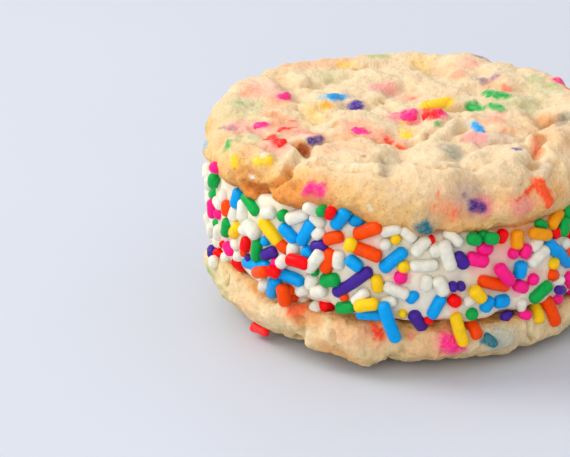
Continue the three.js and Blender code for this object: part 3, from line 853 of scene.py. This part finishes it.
# ---- sprinkles
# Sprinkles that show in front: degrees round from the front, height, turn from level, length, and where one
# differs from the others its thickness as a share of that in the solids, and its lift towards the camera.
FRONT_SPRINKLES = {
    "blue": [
        (-55.3, 26.6, 65, 4, 1.2), (-42.9, 21.2, 0, 2, 0.95), (-46.9, 16.3, 10, 7), (-40.6, 13.2, 70, 4.2),
        (-34.4, 23.9, -35, 4, 1.2), (-28.6, 24.8, 62, 5.4, 1.2), (-18.3, 28.1, 55, 4.3, 1.2),
        (-13.8, 28, 0, 2.5), (-4, 21.4, 42, 5.5, 1.15), (-14.8, 20.5, -35, 3.1, 1.15),
        (-28.6, 21.3, 10, 2.3), (-34.2, 16, -6, 5.4, 1.15), (-10.5, 11.7, 0, 5),
        (-5.3, 10.4, -72, 7.4, 1.15), (0.9, 14.9, 45, 2.4, 1, -0.2), (7.5, 13, 62, 4.5, 1.15),
        (21.6, 12.4, 60, 2.9, 1.15), (25.9, 12.4, 0, 2.8, 1.25), (31.9, 17.2, 80, 3.1, 1.2),
        (45.6, 17.9, -45, 8.5, 1.2),
    ],
    "orange": [
        (-61.6, 23.5, 85, 3), (-36.7, 21.3, -30, 2.6, 1.1, -0.1), (-45.6, 15.1, 20, 3.6),
        (-37, 12.4, 100, 3.9, 1.15), (-34.8, 13.7, 0, 2.1), (-33.9, 12.4, -20, 2),
        (-10.8, 26.4, 22, 5, 1.2), (-20.4, 24.5, 20, 3.6, 1.2), (-11.1, 22.6, -20, 5.1, 1.15),
        (-22.3, 20.4, 75, 4.6, 1.15), (-17.8, 14.4, 45, 2, 0.85, -0.3), (23.7, 15.9, -22, 6, 1.15),
        (17.7, 8.2, -62, 3.8, 1.15), (43.5, 14.3, -25, 2.4), (43, 7.9, -65, 6.6, 1.15),
        (50.5, 17.1, 0, 2.3), (-52.3, 17.4, 80, 2, 0.85, -0.4),
    ],
    "yellow": [
        (-56.6, 20.6, 48, 3.7, 1.2), (-40.8, 23.3, -40, 5.5, 1.2), (-3.4, 25.1, 0, 2, 0.95, -0.1),
        (-15.8, 23.7, 70, 2.6), (-8.6, 17.2, 100, 3.1), (-11.6, 13.2, 12, 4.3, 1.15), (-1.3, 20.2, 0, 2.2),
        (19, 14.4, -52, 3.4, 1.2), (13.8, 8.6, -75, 6.4, 1.15), (43.8, 16.4, 0, 2.3, 1.2),
        (37.8, 8.4, -72, 3.8, 1.25), (-1.9, 12, 0, 2, 0.85, -0.5),
    ],
    "amber": [(30.9, 22.7, 88, 3.4, 1.15), (44.4, 24.1, 45, 3.8), (38.8, 22.4, -22, 4.7)],
    "green": [
        (-48.6, 26.8, -36, 4.6, 1.1), (-73, 26, 60, 3), (-72, 23.8, 25, 3, 1.15), (-62.6, 19.8, 70, 3.8),
        (-70.3, 18.9, 0, 2, 0.9, 0), (-46.6, 18.9, 78, 4.4), (-36.3, 26.7, 0, 2.1),
        (-23.9, 28.9, 30, 2.1, 0.95, 1.1), (-26.3, 18.1, 45, 2, 0.85, -0.3), (-21.7, 17, 12, 3.5, 1.3),
        (-17.4, 12.5, 12, 3.6), (18, 24.2, -20, 2.6), (20.6, 24.5, -30, 2.2), (23, 23.9, -10, 2.5),
        (17.2, 11, 35, 2.3), (38.9, 24.1, -30, 2.7, 0.9), (48, 22.1, 80, 3.4), (49.4, 24.4, 60, 3),
        (38.9, 12.1, 25, 4.8, 1.25),
    ],
    "red": [
        (-51.7, 19, 70, 3), (-55.8, 14.5, -10, 3.2, 1.1, 1.2), (-40.6, 16, -10, 2.7),
        (-70.5, 13.2, 20, 2.8, 1, 0.4), (-21.2, 28.8, 60, 2.4, 1, 0.5), (-31.7, 19.1, -3, 4.5, 1.15),
        (-23, 12.4, 10, 2.6), (5.8, 24.9, 45, 1.9, 0.95, -0.5), (5.2, 10.9, 0, 2, 0.9, -0.7),
        (12.4, 13.8, -40, 2.4), (26, 23.9, 60, 2.5), (44.6, 21.6, 0, 2.6, 1, -0.2),
        (-65, 16.2, -50, 2.2, 0.8), (51, 20.5, 0, 2.4),
    ],
    "pink": [
        (-68.4, 21, 0, 2.1), (-78, 19.7, 88, 3.6, 0.95), (-70, 29, 20, 3), (-61.4, 16.2, -35, 2.8),
        (-38.3, 17.8, -15, 2.8, 1.1, 0), (-2.3, 18.3, 0, 2.3, 1.15), (18.8, 20.6, -20, 4, 1.3),
        (21, 22.4, -20, 2.8, 1.15), (27, 17, -55, 4.7, 1.2), (29.7, 20.4, 0, 2, 1),
        (33.7, 20.2, 75, 2.6, 1.05), (32, 14.2, -30, 3), (36.3, 14.8, -20, 2.3), (50.5, 12, -60, 3.4),
        (33.6, 8.9, -25, 2.4, 0.9, 0.7), (45.2, 9.8, -45, 2.4),
    ],
    "purple": [
        (-41.6, 19.2, 30, 3.9), (-50, 16.9, -30, 2.2, 0.85, -0.4), (-24.8, 22.7, 15, 3.2, 1.05, -0.1),
        (-15.4, 17.2, 38, 8.2), (2.3, 10.7, -58, 3.9, 1.15), (14.2, 20.8, -55, 3.3, 1.15),
        (12, 16.3, 0, 1.9, 0.85, 0), (14.1, 16.2, 0, 1.9, 0.85, 0), (27.7, 9.5, 5, 2.4, 1, 0.2),
        (46.8, 10.9, -20, 2.6, 0.9), (-86, 9.6, 80, 2.5, 1.05, 0),
    ],
    "white": [
        (-63.5, 25.2, 60, 2.8), (-68.6, 22.9, -10, 3.1, 1), (-57, 23.5, 60, 3.2, 1.15),
        (-52.3, 25, 80, 4.2, 1.2), (-48.8, 22.2, -20, 3.8, 1.4), (-51.5, 21.6, 10, 3),
        (-57, 18, 0, 2.3, 1.2), (-55.8, 16, 60, 2.4, 1), (-64.1, 13.9, 0, 2.3, 1.2, 0.9),
        (-80, 9.2, 80, 2.5, 1, 0.3), (-69.7, 17.3, 70, 3, 1.1, -0.2), (-80, 24, 70, 3),
        (-83, 14.5, 80, 3, 1, -0.2), (-44, 13, 60, 3, 1.15), (-36.7, 18.5, 45, 2.8, 1.15, 0.9),
        (-31.3, 27.3, 28, 4.8, 1.2, 0.2), (-26.8, 29.1, -8, 3.1, 1.15), (-25, 27.3, -38, 3, 1.15),
        (-41.4, 26.5, 20, 3.2, 1.15), (-24.8, 25, 45, 2.6), (-4.6, 26.6, 15, 3.7, 1.1),
        (-33, 21.1, 80, 2.8, 1.2), (-26.5, 19.9, 55, 4.8, 1.15, 1.1), (-19, 20.8, 82, 3.4, 1.15),
        (-27.3, 16.2, 80, 3, 1.3), (-25.3, 14.7, 20, 3, 1.2), (-30.4, 14.2, 30, 2.6), (-31, 12.6, -8, 3.2),
        (-26.6, 11.6, 0, 2.3, 1.2), (-13.2, 14.7, 45, 3.7, 1.15), (0.1, 26, -46, 3.2, 1.3),
        (3.4, 23.8, 48, 4.1, 1.2), (7.4, 22.9, 0, 2.3, 1.25), (10.5, 21.9, -75, 5.5, 1.2),
        (12, 24.9, -46, 4, 1.1), (4.1, 20.5, 0, 4.8), (4.6, 17.3, 85, 2.9, 1.15),
        (8.6, 16.6, -65, 3.7, 1.3), (-3.4, 16.1, -25, 4.5, 1.15), (-5.4, 14.1, 15, 2.8),
        (-6.2, 24.1, 0, 2.3, 1.05), (16.8, 13.6, 20, 2.6, 1.05), (37.1, 21, 40, 2.8, 1.15),
        (38, 18.6, 28, 4.6, 1.2, 0.3), (48.5, 19, 0, 2.3, 1.2), (45.6, 12.6, 30, 2.8),
        (32.4, 10.8, 80, 2.4, 0.95),
    ],
}
READ_RADIUS = 34.4  # where the places above lie
USUAL_THICKNESS = 1.1
LIFTED = 6  # values of one whose lift is given
DOT_LENGTH = 2.3  # one that looks no longer than this points outwards
DOT_DEPTH = 3.2
DOT_STANDS_OUT = 0.7  # radii
FRONT_STANDS_OUT = 0.45
BACK_STANDS_OUT = 0.3
RAISED_AT_MOST = {"dot": 0.6, "front": 2.2, "back": 1}
RAISE_STEP = 0.15
ROD_STEP = 0.9
BEADS_APART = 1.7  # radii
OUTSIDE = 6  # millimetres beyond the places above, from where the sides are sought

# The rule for the side that the places above leave out, first as in the solids and then shorter ones.
BACK = {
    "from": 57, "to": 267, "seed": 11, "count": 78, "lengths": (6.4, 3.4), "clearance": 1.9, "margin": 1.3,
}
MORE_BACK = {**BACK, "seed": 21, "count": 300, "lengths": (5.2, 2.6), "clearance": 1.5, "margin": 0.3}
# White ones between the two sides.
LEFT_EDGE = {
    "from": -92, "to": -76, "seed": 31, "count": 12, "lengths": (4, 2.6), "clearance": 2.1, "margin": 0.7,
}
COLOUR_SEED = 41
SHAPE_SEED = 51
TRIES = 60
BEAD_STEP = 1.2
GAP = 0.3
MIX = {
    "white": 0.36, "blue": 0.12, "orange": 0.1, "yellow": 0.07, "amber": 0.03, "green": 0.1, "red": 0.07,
    "pink": 0.1, "purple": 0.05,
}
THICKNESS_SPREAD = 0.08
BEND = 0.12

# Sprinkles baked into the cookies: colour, and the places of the frame of their two ends.
UPPER_BAKED = [
    ("blue", 334, 97, 340, 96), ("purple", 354, 106, 359, 102), ("yellow", 429, 105, 445, 101),
    ("pink", 405, 114, 410, 112), ("red", 429, 114, 440, 112), ("green", 488, 93, 501, 95),
    ("green", 469, 106, 480, 109), ("green", 491, 106, 497, 108), ("blue", 475, 125, 480, 130),
    ("pink", 261, 124, 265, 125), ("red", 268, 139, 278, 140), ("pink", 360, 129, 365, 132),
    ("pink", 284, 96, 289, 94), ("yellow", 258, 160, 266, 158), ("orange", 540, 186, 549, 202),
]
LOWER_BAKED = [("teal", 485, 339, 489, 343)]
# The one that shows under the rim on the left: colour, degrees round, radius, height, turn, length.
UNDER_RIM_SPRINKLE = ("red", -54.2, 31.4, 1.9, 5, 4.7)
UNDER_RIM_THICKNESS = 0.95
BAKED_DEPTH = 0.9
MELTED = (1.4, 0.65)  # size and distance

# The rod that all sprinkles are copies of, each with its own length.
ROD = {"sides": 10, "length": 4, "rounding": 0.8, "rings": 3}
ALIKE = 0.9  # cosine between two directions that count as one


def master_sprinkle():
    """A rod along +X with rounded ends and a ring in its middle, from which it bends."""
    bpy.ops.mesh.primitive_cylinder_add(vertices=ROD["sides"], radius=SPRINKLE_RADIUS, depth=ROD["length"],
                                        end_fill_type="NGON", rotation=(0, math.pi / 2, 0))
    rod = bpy.context.object
    bpy.ops.object.transform_apply(rotation=True)
    bpy.ops.object.mode_set(mode="EDIT")
    bpy.ops.mesh.select_mode(type="FACE")
    bpy.ops.mesh.select_all(action="DESELECT")
    bpy.ops.object.mode_set(mode="OBJECT")
    for face in rod.data.polygons:
        face.select = abs(face.normal.x) > ALIKE
    bpy.ops.object.mode_set(mode="EDIT")
    bpy.ops.mesh.bevel(offset=ROD["rounding"], segments=ROD["rings"], affect="EDGES")
    bpy.ops.mesh.select_all(action="SELECT")
    bpy.ops.mesh.bisect(plane_co=(0, 0, 0), plane_no=(1, 0, 0))
    bpy.ops.object.mode_set(mode="OBJECT")
    return rod


class Pile:
    """The sprinkles that lie so far, as beads, so that each next one is raised clear of them."""

    def __init__(self, surfaces):
        self.surfaces = surfaces
        self.beads = np.empty((0, 3))
        self.placed = {name: [] for name in MIX}

    def hit(self, start, direction):
        """The nearest point of the surfaces along a ray, or nothing."""
        hits = [surface.ray_cast(start, direction) for surface in self.surfaces]
        found = [(distance, point) for point, _, _, distance in hits if point is not None]
        return min(found, key=lambda one: one[0])[1] if found else None

    def raised(self, ends, lift, limit):
        """The ends moved along the lift until the rod is clear of the beads that lie already."""
        start, end = ends
        shares = np.linspace(0, 1, max(2, round((end - start).length / ROD_STEP) + 1))[:, None]
        row = np.array(start) + shares * np.array(end - start)
        height = 0
        while height < limit and len(self.beads):
            away = np.linalg.norm(self.beads[:, None] - row[None] - height * np.array(lift), axis=2)
            if away.min() > BEADS_APART * SPRINKLE_RADIUS:
                break
            height += RAISE_STEP
        self.beads = np.vstack([self.beads, row + height * np.array(lift)])
        return start + height * lift, end + height * lift

    def add(self, colour, ends, outward, thickness=USUAL_THICKNESS):
        self.placed[colour].append((*ends, outward, thickness))


def side_directions(degrees, turn):
    """Along a rod on the side with that turn from level, and outwards."""
    angle, tilt = math.radians(degrees), math.radians(turn)
    level = Vector((math.cos(angle), math.sin(angle), 0))
    return level * math.cos(tilt) + Vector((0, 0, math.sin(tilt))), side_point(degrees, 1, 0)


def lay_in_front(pile, colour, degrees, height, turn, length, thickness=USUAL_THICKNESS, lift=None):
    """Lays a sprinkle where it is seen from the camera, on whatever surface lies behind that place."""
    along, outward = side_directions(degrees, turn)
    middle = side_point(degrees, READ_RADIUS, height)
    sight = (middle - CAMERA_PLACE).normalized()
    nearer = sight.dot(outward) * sight
    found = pile.hit(CAMERA_PLACE, sight) or middle
    if length <= DOT_LENGTH:
        tip = found + DOT_STANDS_OUT * SPRINKLE_RADIUS * nearer
        ends = (tip - DOT_DEPTH * outward, tip)
    else:
        half = length / 2 - SPRINKLE_RADIUS
        tips = []
        for reach in (-half, half):
            tip = pile.hit(CAMERA_PLACE, (middle + reach * along - CAMERA_PLACE).normalized())
            tips.append(tip if tip and (tip - found).length < length else found + reach * along)
        ends = tuple(tip + FRONT_STANDS_OUT * SPRINKLE_RADIUS * nearer for tip in tips)
    if lift is None:
        ends = pile.raised(ends, -sight, RAISED_AT_MOST["dot" if length <= DOT_LENGTH else "front"])
    else:
        ends = tuple(end - lift * sight for end in ends)
    pile.add(colour, ends, outward, thickness)


def lay_behind(pile, colour, degrees, height, turn, length):
    along, outward = side_directions(degrees, turn)
    half = length / 2 - SPRINKLE_RADIUS
    middle = side_point(degrees, READ_RADIUS + OUTSIDE, height)
    tips = []
    for reach in (-half, half):
        tip = pile.hit(middle + reach * along, -outward)
        tips.append(tip or middle - (OUTSIDE + 1) * outward + reach * along)
    ends = tuple(tip + BACK_STANDS_OUT * SPRINKLE_RADIUS * outward for tip in tips)
    pile.add(colour, pile.raised(ends, outward, RAISED_AT_MOST["back"]), outward)


def side_heights(degrees):
    place = side_point(degrees, FILLING_RADIUS, 0)
    return lower_face(place.x, place.y) + GAP, upper_face(place.x, place.y) - GAP


def beads_on_side(degrees, height, turn, length):
    """The beads of a sprinkle as millimetres along the unrolled side and height."""
    reach = length / 2 - SPRINKLE_RADIUS
    count = 1 + math.ceil(2 * reach / BEAD_STEP)
    along = np.linspace(-reach, reach, count) if count > 1 else np.zeros(1)
    across = math.radians(degrees) * FILLING_RADIUS + along * math.cos(math.radians(turn))
    return np.stack([across, height + along * math.sin(math.radians(turn))], axis=1)


def spread_sprinkles(rule, taken):
    """Sprinkles at random from long to short, each where there is room between those that are taken."""
    draws = seeded_draws(rule["seed"])
    longest, shortest = rule["lengths"]
    kept = []
    for i in range(rule["count"]):
        length = longest + (shortest - longest) * i / (rule["count"] - 1)
        for _ in range(TRIES):
            degrees = between((rule["from"], rule["to"]), draws)
            low, high = side_heights(degrees)
            height = between((low, high), draws)
            turn = 180 * next(draws) - 90
            beads = beads_on_side(degrees, height, turn, length)
            inside = np.all((beads[:, 1] > low + rule["margin"]) & (beads[:, 1] < high - rule["margin"]))
            clear = np.linalg.norm(beads[:, None] - taken[None], axis=2).min(initial=BEYOND)
            if inside and clear > rule["clearance"]:
                kept.append((degrees, height, turn, length))
                taken = np.vstack([taken, beads])
                break
    return kept, taken


def mixed_colour(draws):
    share = next(draws)
    for name, part in MIX.items():
        share -= part
        if share < 0:
            return name
    return "white"


def lay_sprinkles(surfaces):
    pile = Pile(surfaces)
    for lifted in (False, True):
        for colour in ["white"] + [name for name in FRONT_SPRINKLES if name != "white"]:
            for sprinkle in sorted(FRONT_SPRINKLES[colour], key=lambda sprinkle: sprinkle[3]):
                if (len(sprinkle) == LIFTED) == lifted:
                    lay_in_front(pile, colour, *sprinkle)
    behind, taken = spread_sprinkles(BACK, np.empty((0, 2)))
    more, _ = spread_sprinkles(MORE_BACK, taken)
    colours = seeded_draws(COLOUR_SEED)
    for sprinkle in behind + more:
        lay_behind(pile, mixed_colour(colours), *sprinkle)
    front = [beads_on_side(*sprinkle[:4]) for rows in FRONT_SPRINKLES.values() for sprinkle in rows]
    edge, _ = spread_sprinkles(LEFT_EDGE, np.vstack(front))
    for sprinkle in edge:
        lay_behind(pile, "white", *sprinkle)
    return pile


def shaped_sprinkle(master, start, end, outward, thickness, draws):
    """The master's points between two end points: its length, thickness and bend are its own."""
    half = (end - start).length / 2 + SPRINKLE_RADIUS
    along = (end - start).normalized()
    stands_out = abs(along.dot(outward)) > ALIKE
    across = along.cross(Vector((0, 0, 1)) if stands_out else outward).normalized()
    inward = along.cross(across)
    x, y, z = points_of(master).T
    thick = thickness * (1 - THICKNESS_SPREAD / 2 + THICKNESS_SPREAD * next(draws))
    bend = (next(draws) - 0.5) * BEND * half
    x = x + np.sign(np.round(x, 3)) * (half - np.abs(x).max())
    y = y * thick + bend * (1 - (x / half) ** 2)
    middle = np.array((start + end) / 2)
    return middle + np.outer(x, along) + np.outer(y, across) + np.outer(z * thick, inward)


def sprinkle_piece(master, rods, draws):
    copies = []
    for start, end, outward, thickness in rods:
        copy = master.copy()
        copy.data = master.data.copy()
        bpy.context.collection.objects.link(copy)
        set_points(copy, shaped_sprinkle(master, start, end, outward, thickness, draws))
        copies.append(copy)
    make_active(copies[0])
    for copy in copies[1:]:
        copy.select_set(True)
    bpy.ops.object.join()
    return copies[0]


def sunk_sprinkle(surface, ends):
    """A sprinkle that lies in the dough, from the places of its two ends in the camera's frame."""
    start, end = seen_place(surface, *ends[:2]), seen_place(surface, *ends[2:])
    outward = surface.find_nearest((start + end) / 2)[1]
    return start - BAKED_DEPTH * outward, end - BAKED_DEPTH * outward, outward, 1


def sprinkle_under_rim(colour, degrees, radius, height, turn, length):
    along, outward = side_directions(degrees, turn)
    middle, half = side_point(degrees, radius, height), length / 2 - SPRINKLE_RADIUS
    return colour, middle - half * along, middle + half * along, outward, UNDER_RIM_THICKNESS


def baked_sprinkles(master, sprinkles, draws):
    """Sprinkles sunk into the dough of one cookie, softened and each with its own colour."""
    piece = sprinkle_piece(master, [rod for _, *rod in sprinkles], draws)
    distort(piece, *MELTED)
    coats = [(*linear(SUGAR[colour]), 1) for colour, *_ in sprinkles]
    store_colours(piece, "coat", np.repeat(coats, len(master.data.vertices), axis=0))
    return piece


# ---- materials
DOUGH_FINISH = {
    "Roughness": 0.72, "Specular IOR Level": 0.35, "Subsurface Weight": 0.4,
    "Subsurface Radius": (1, 0.6, 0.35), "Subsurface Scale": 1.8 * MM,
}
CREAM_FINISH = {
    "Roughness": 0.45, "Subsurface Weight": 0.4, "Subsurface Radius": (1, 0.8, 0.6),
    "Subsurface Scale": 2 * MM,
}
SUGAR_FINISH = {
    "Roughness": 0.36, "Specular IOR Level": 0.12, "Subsurface Weight": 0.12,
    "Subsurface Radius": (1, 1, 1), "Subsurface Scale": 0.4 * MM,
}
BAKED_SUGAR_FINISH = {"Roughness": 0.5, "Subsurface Weight": 0.1, "Subsurface Scale": 0.4 * MM}
TABLE_FINISH = {"Roughness": 0.5}

# Relief: the noises in it by the size of their features in millimetres and their detail, and then its
# strength and distance.
DOUGH_RELIEF = ([(0.5, 4), (1.2, 3)], 0.75, 0.42)
CREAM_RELIEF = ([(0.9, 4)], 0.35, 0.2)
SUGAR_RELIEF = ([(0.7, 3)], 0.12, 0.06)
BAKED_SUGAR_RELIEF = ([(0.5, 3)], 0.4, 0.15)

# Size of the patches of tone in each, in millimetres.
CREAM_PATCHES = 4
SUGAR_PATCHES = 1.1
CRUMB_SIZE = 0.5
CRUMB_PATCHES = 1
TABLE_PATCHES = 120
DEEP_SUGAR = 0.9
SUGAR_STOPS = (0.3, 0.8)

# Tones of the dough: size and detail of the noise, and what it is multiplied by.
BROAD_TONE = (5, 3, 0.3)
FINE_TONE = (0.7, 6, 0.2)
# The same and what is then added, for the gaps in the stains and for brown freckles.
STAIN_GAPS = (0.4, 3, 0.7, 0.65)
FRECKLES = (0.5, 2, 7, -4.15)
# How freckled browned dough is: what the browning is multiplied by, and what is added.
FRECKLED = (1.2, 0.12)


class Finish:
    """A material made of nodes, which takes its places from the object."""

    def __init__(self, name, values):
        self.material = bpy.data.materials.new(name)
        self.material.use_nodes = True
        self.tree = self.material.node_tree
        self.shader = self.tree.nodes["Principled BSDF"]
        self.place = self.tree.nodes.new("ShaderNodeTexCoord").outputs["Object"]
        for socket, value in values.items():
            self.shader.inputs[socket].default_value = value

    def feed(self, socket, value):
        if isinstance(value, bpy.types.NodeSocket):
            self.tree.links.new(value, socket)
        else:
            socket.default_value = value

    def add(self, kind, **inputs):
        node = self.tree.nodes.new(kind)
        for name, value in inputs.items():
            self.feed(node.inputs[name.title()], value)
        return node

    def stored(self, name):
        """What paint has stored at the points."""
        node = self.tree.nodes.new("ShaderNodeAttribute")
        node.attribute_name = name
        return node.outputs

    def noise(self, size, detail=3):
        """Soft noise whose features are about this many millimetres across."""
        scale = 1 / (size * MM)
        return self.add("ShaderNodeTexNoise", vector=self.place, scale=scale, detail=detail).outputs["Fac"]

    def ramp(self, share, stops):
        node = self.add("ShaderNodeValToRGB", fac=share)
        while len(node.color_ramp.elements) < len(stops):
            node.color_ramp.elements.new(0.5)
        for element, (place, colour) in zip(node.color_ramp.elements, stops):
            element.position = place
            element.color = (*linear(colour), 1)
        return node.outputs["Color"]

    def calculate(self, operation, *values, clamp=False):
        node = self.tree.nodes.new("ShaderNodeMath")
        node.operation = operation
        node.use_clamp = clamp
        for socket, value in zip(node.inputs, values):
            self.feed(socket, value)
        return node.outputs[0]

    def mix(self, share, first, second):
        node = self.tree.nodes.new("ShaderNodeMix")
        node.data_type = "RGBA"
        inputs = {socket.identifier: socket for socket in node.inputs}
        for name, value in (("Factor_Float", share), ("A_Color", first), ("B_Color", second)):
            self.feed(inputs[name], value)
        return next(socket for socket in node.outputs if socket.identifier == "Result_Color")

    def contrast(self, value, share, added=0, clamp=False):
        return self.calculate("MULTIPLY_ADD", value, share, added, clamp=clamp)

    def relief(self, grains, strength, distance):
        height = self.noise(*grains[0])
        for grain in grains[1:]:
            height = self.calculate("ADD", height, self.noise(*grain))
        node = self.add("ShaderNodeBump", height=height, strength=strength, distance=distance * MM)
        self.feed(self.shader.inputs["Normal"], node.outputs["Normal"])

    def coloured(self, colour):
        self.feed(self.shader.inputs["Base Color"], colour)
        return self.material


def dough_material(name, tones):
    finish = Finish(name, DOUGH_FINISH)
    # The browning carries painted shade in the hollows, and the marks carry painted shade in the cracks and
    # pits.
    toast_and_shade, stain_and_shade = finish.stored("toast_and_shade"), finish.stored("stain_and_shade")
    broad, fine, gaps = [
        finish.contrast(finish.noise(size, detail), *contrast)
        for size, detail, *contrast in (BROAD_TONE, FINE_TONE, STAIN_GAPS)
    ]
    tone = finish.calculate("ADD", finish.calculate("ADD", broad, fine), toast_and_shade["Fac"])
    melted = finish.calculate("MULTIPLY", stain_and_shade["Alpha"], gaps, clamp=True)
    colour = finish.mix(melted, finish.ramp(tone, tones), stain_and_shade["Color"])
    size, detail, *contrast = FRECKLES
    freckle = finish.contrast(finish.noise(size, detail), *contrast, clamp=True)
    browned = finish.contrast(toast_and_shade["Fac"], *FRECKLED, clamp=True)
    freckled = finish.calculate("MULTIPLY", freckle, browned)
    finish.relief(*DOUGH_RELIEF)
    return finish.coloured(finish.mix(freckled, colour, (*linear(BROWN_CRUST), 1)))


def ice_cream_material():
    finish = Finish("ice_cream", CREAM_FINISH)
    # The stored colour holds the sprinkles' tints and the painted shade under the upper lip.
    stain_and_shade = finish.stored("stain_and_shade")
    cream = finish.ramp(finish.noise(CREAM_PATCHES), CREAM)
    finish.relief(*CREAM_RELIEF)
    return finish.coloured(finish.mix(stain_and_shade["Alpha"], cream, stain_and_shade["Color"]))


def sugar_material(name, colour):
    finish = Finish(name, SUGAR_FINISH)
    deep = tuple(DEEP_SUGAR * part for part in colour)
    finish.relief(*SUGAR_RELIEF)
    return finish.coloured(finish.ramp(finish.noise(SUGAR_PATCHES), list(zip(SUGAR_STOPS, (colour, deep)))))


def baked_sugar_material():
    finish = Finish("baked_sugar", BAKED_SUGAR_FINISH)
    crumbs = finish.ramp(finish.noise(CRUMB_SIZE), CRUMBS)
    dough = finish.ramp(finish.noise(CRUMB_PATCHES), CRUMB_TONES)
    finish.relief(*BAKED_SUGAR_RELIEF)
    return finish.coloured(finish.mix(crumbs, finish.stored("coat")["Color"], dough))


def table_material():
    finish = Finish("pale_table", TABLE_FINISH)
    return finish.coloured(finish.ramp(finish.noise(TABLE_PATCHES), TABLE))


# ---- stage
FLOOR_SIZE = 6
SKY_STRENGTH = 0.8
# Name, place and size in metres, power and colour.
LIGHTS = [
    ("window", (-0.85, 0.15, 0.8), 0.6, 7.5, (1, 0.98, 0.95)),
    ("fill", (-0.4, -0.97, 0.5), 1, 5, (1, 0.985, 0.955)),
]


def add_floor():
    bpy.ops.mesh.primitive_plane_add(size=FLOOR_SIZE, location=(0, 0, 0))
    floor = bpy.context.object
    floor.name = "floor"
    floor.data.materials.append(table_material())


def add_light(name, place, size, power, colour):
    light = bpy.data.lights.new(name, "AREA")
    light.shape = "DISK"
    light.size = size
    light.energy = power
    light.color = colour
    obj = bpy.data.objects.new(name, light)
    bpy.context.collection.objects.link(obj)
    obj.location = place
    obj.rotation_euler = (-Vector(place)).to_track_quat("-Z", "Y").to_euler()


def add_sky():
    world = bpy.data.worlds.new("studio")
    bpy.context.scene.world = world
    world.use_nodes = True
    background = world.node_tree.nodes["Background"]
    background.inputs["Color"].default_value = (*linear(SKY), 1)
    background.inputs["Strength"].default_value = SKY_STRENGTH


def add_camera():
    camera = bpy.data.cameras.new("camera")
    camera.lens = CAMERA_LENS
    camera.sensor_width = SENSOR
    camera.clip_start = 0.01
    obj = bpy.data.objects.new("camera", camera)
    bpy.context.collection.objects.link(obj)
    obj.matrix_world = Matrix.Translation(CAMERA_PLACE * MM) @ camera_turn()
    bpy.context.scene.camera = obj


# ---- the sandwich
def build_sandwich():
    upper, lower, core = upper_dough(), lower_dough(), ice_cream()
    upper_surface, lower_surface = surface_of(upper), surface_of(lower)
    pile = lay_sprinkles([surface_of(core), upper_surface, lower_surface])
    paint_upper(upper)
    paint_lower(lower)
    paint_ice_cream(core, pile)
    master = master_sprinkle()
    shapes = seeded_draws(SHAPE_SEED)
    baked_sugar = baked_sugar_material()
    upper_baked = [(colour, *sunk_sprinkle(upper_surface, ends)) for colour, *ends in UPPER_BAKED]
    lower_baked = [(colour, *sunk_sprinkle(lower_surface, ends)) for colour, *ends in LOWER_BAKED]
    lower_baked.append(sprinkle_under_rim(*UNDER_RIM_SPRINKLE))
    for side, sprinkles in (("upper", upper_baked), ("lower", lower_baked)):
        piece = baked_sprinkles(master, sprinkles, shapes)
        finish_piece(piece, f"{side}_baked_sprinkles", baked_sugar, f"{side}_cookie")
    for colour, rods in pile.placed.items():
        material = sugar_material(f"{colour}_sugar", SUGAR[colour])
        piece = sprinkle_piece(master, rods, shapes)
        finish_piece(piece, f"sprinkles_{colour}", material, "ice_cream")
    bpy.data.objects.remove(master)
    for side, dough, tones in (("upper", upper, UPPER_TONES), ("lower", lower, LOWER_TONES)):
        material = dough_material(f"{side}_crust", tones)
        finish_piece(dough, f"{side}_dough", material, f"{side}_cookie")
    finish_piece(core, "ice_cream_core", ice_cream_material(), "ice_cream")


build_sandwich()
add_floor()
add_camera()
add_sky()
for light in LIGHTS:
    add_light(*light)
bpy.context.scene.view_settings.view_transform = "Standard"
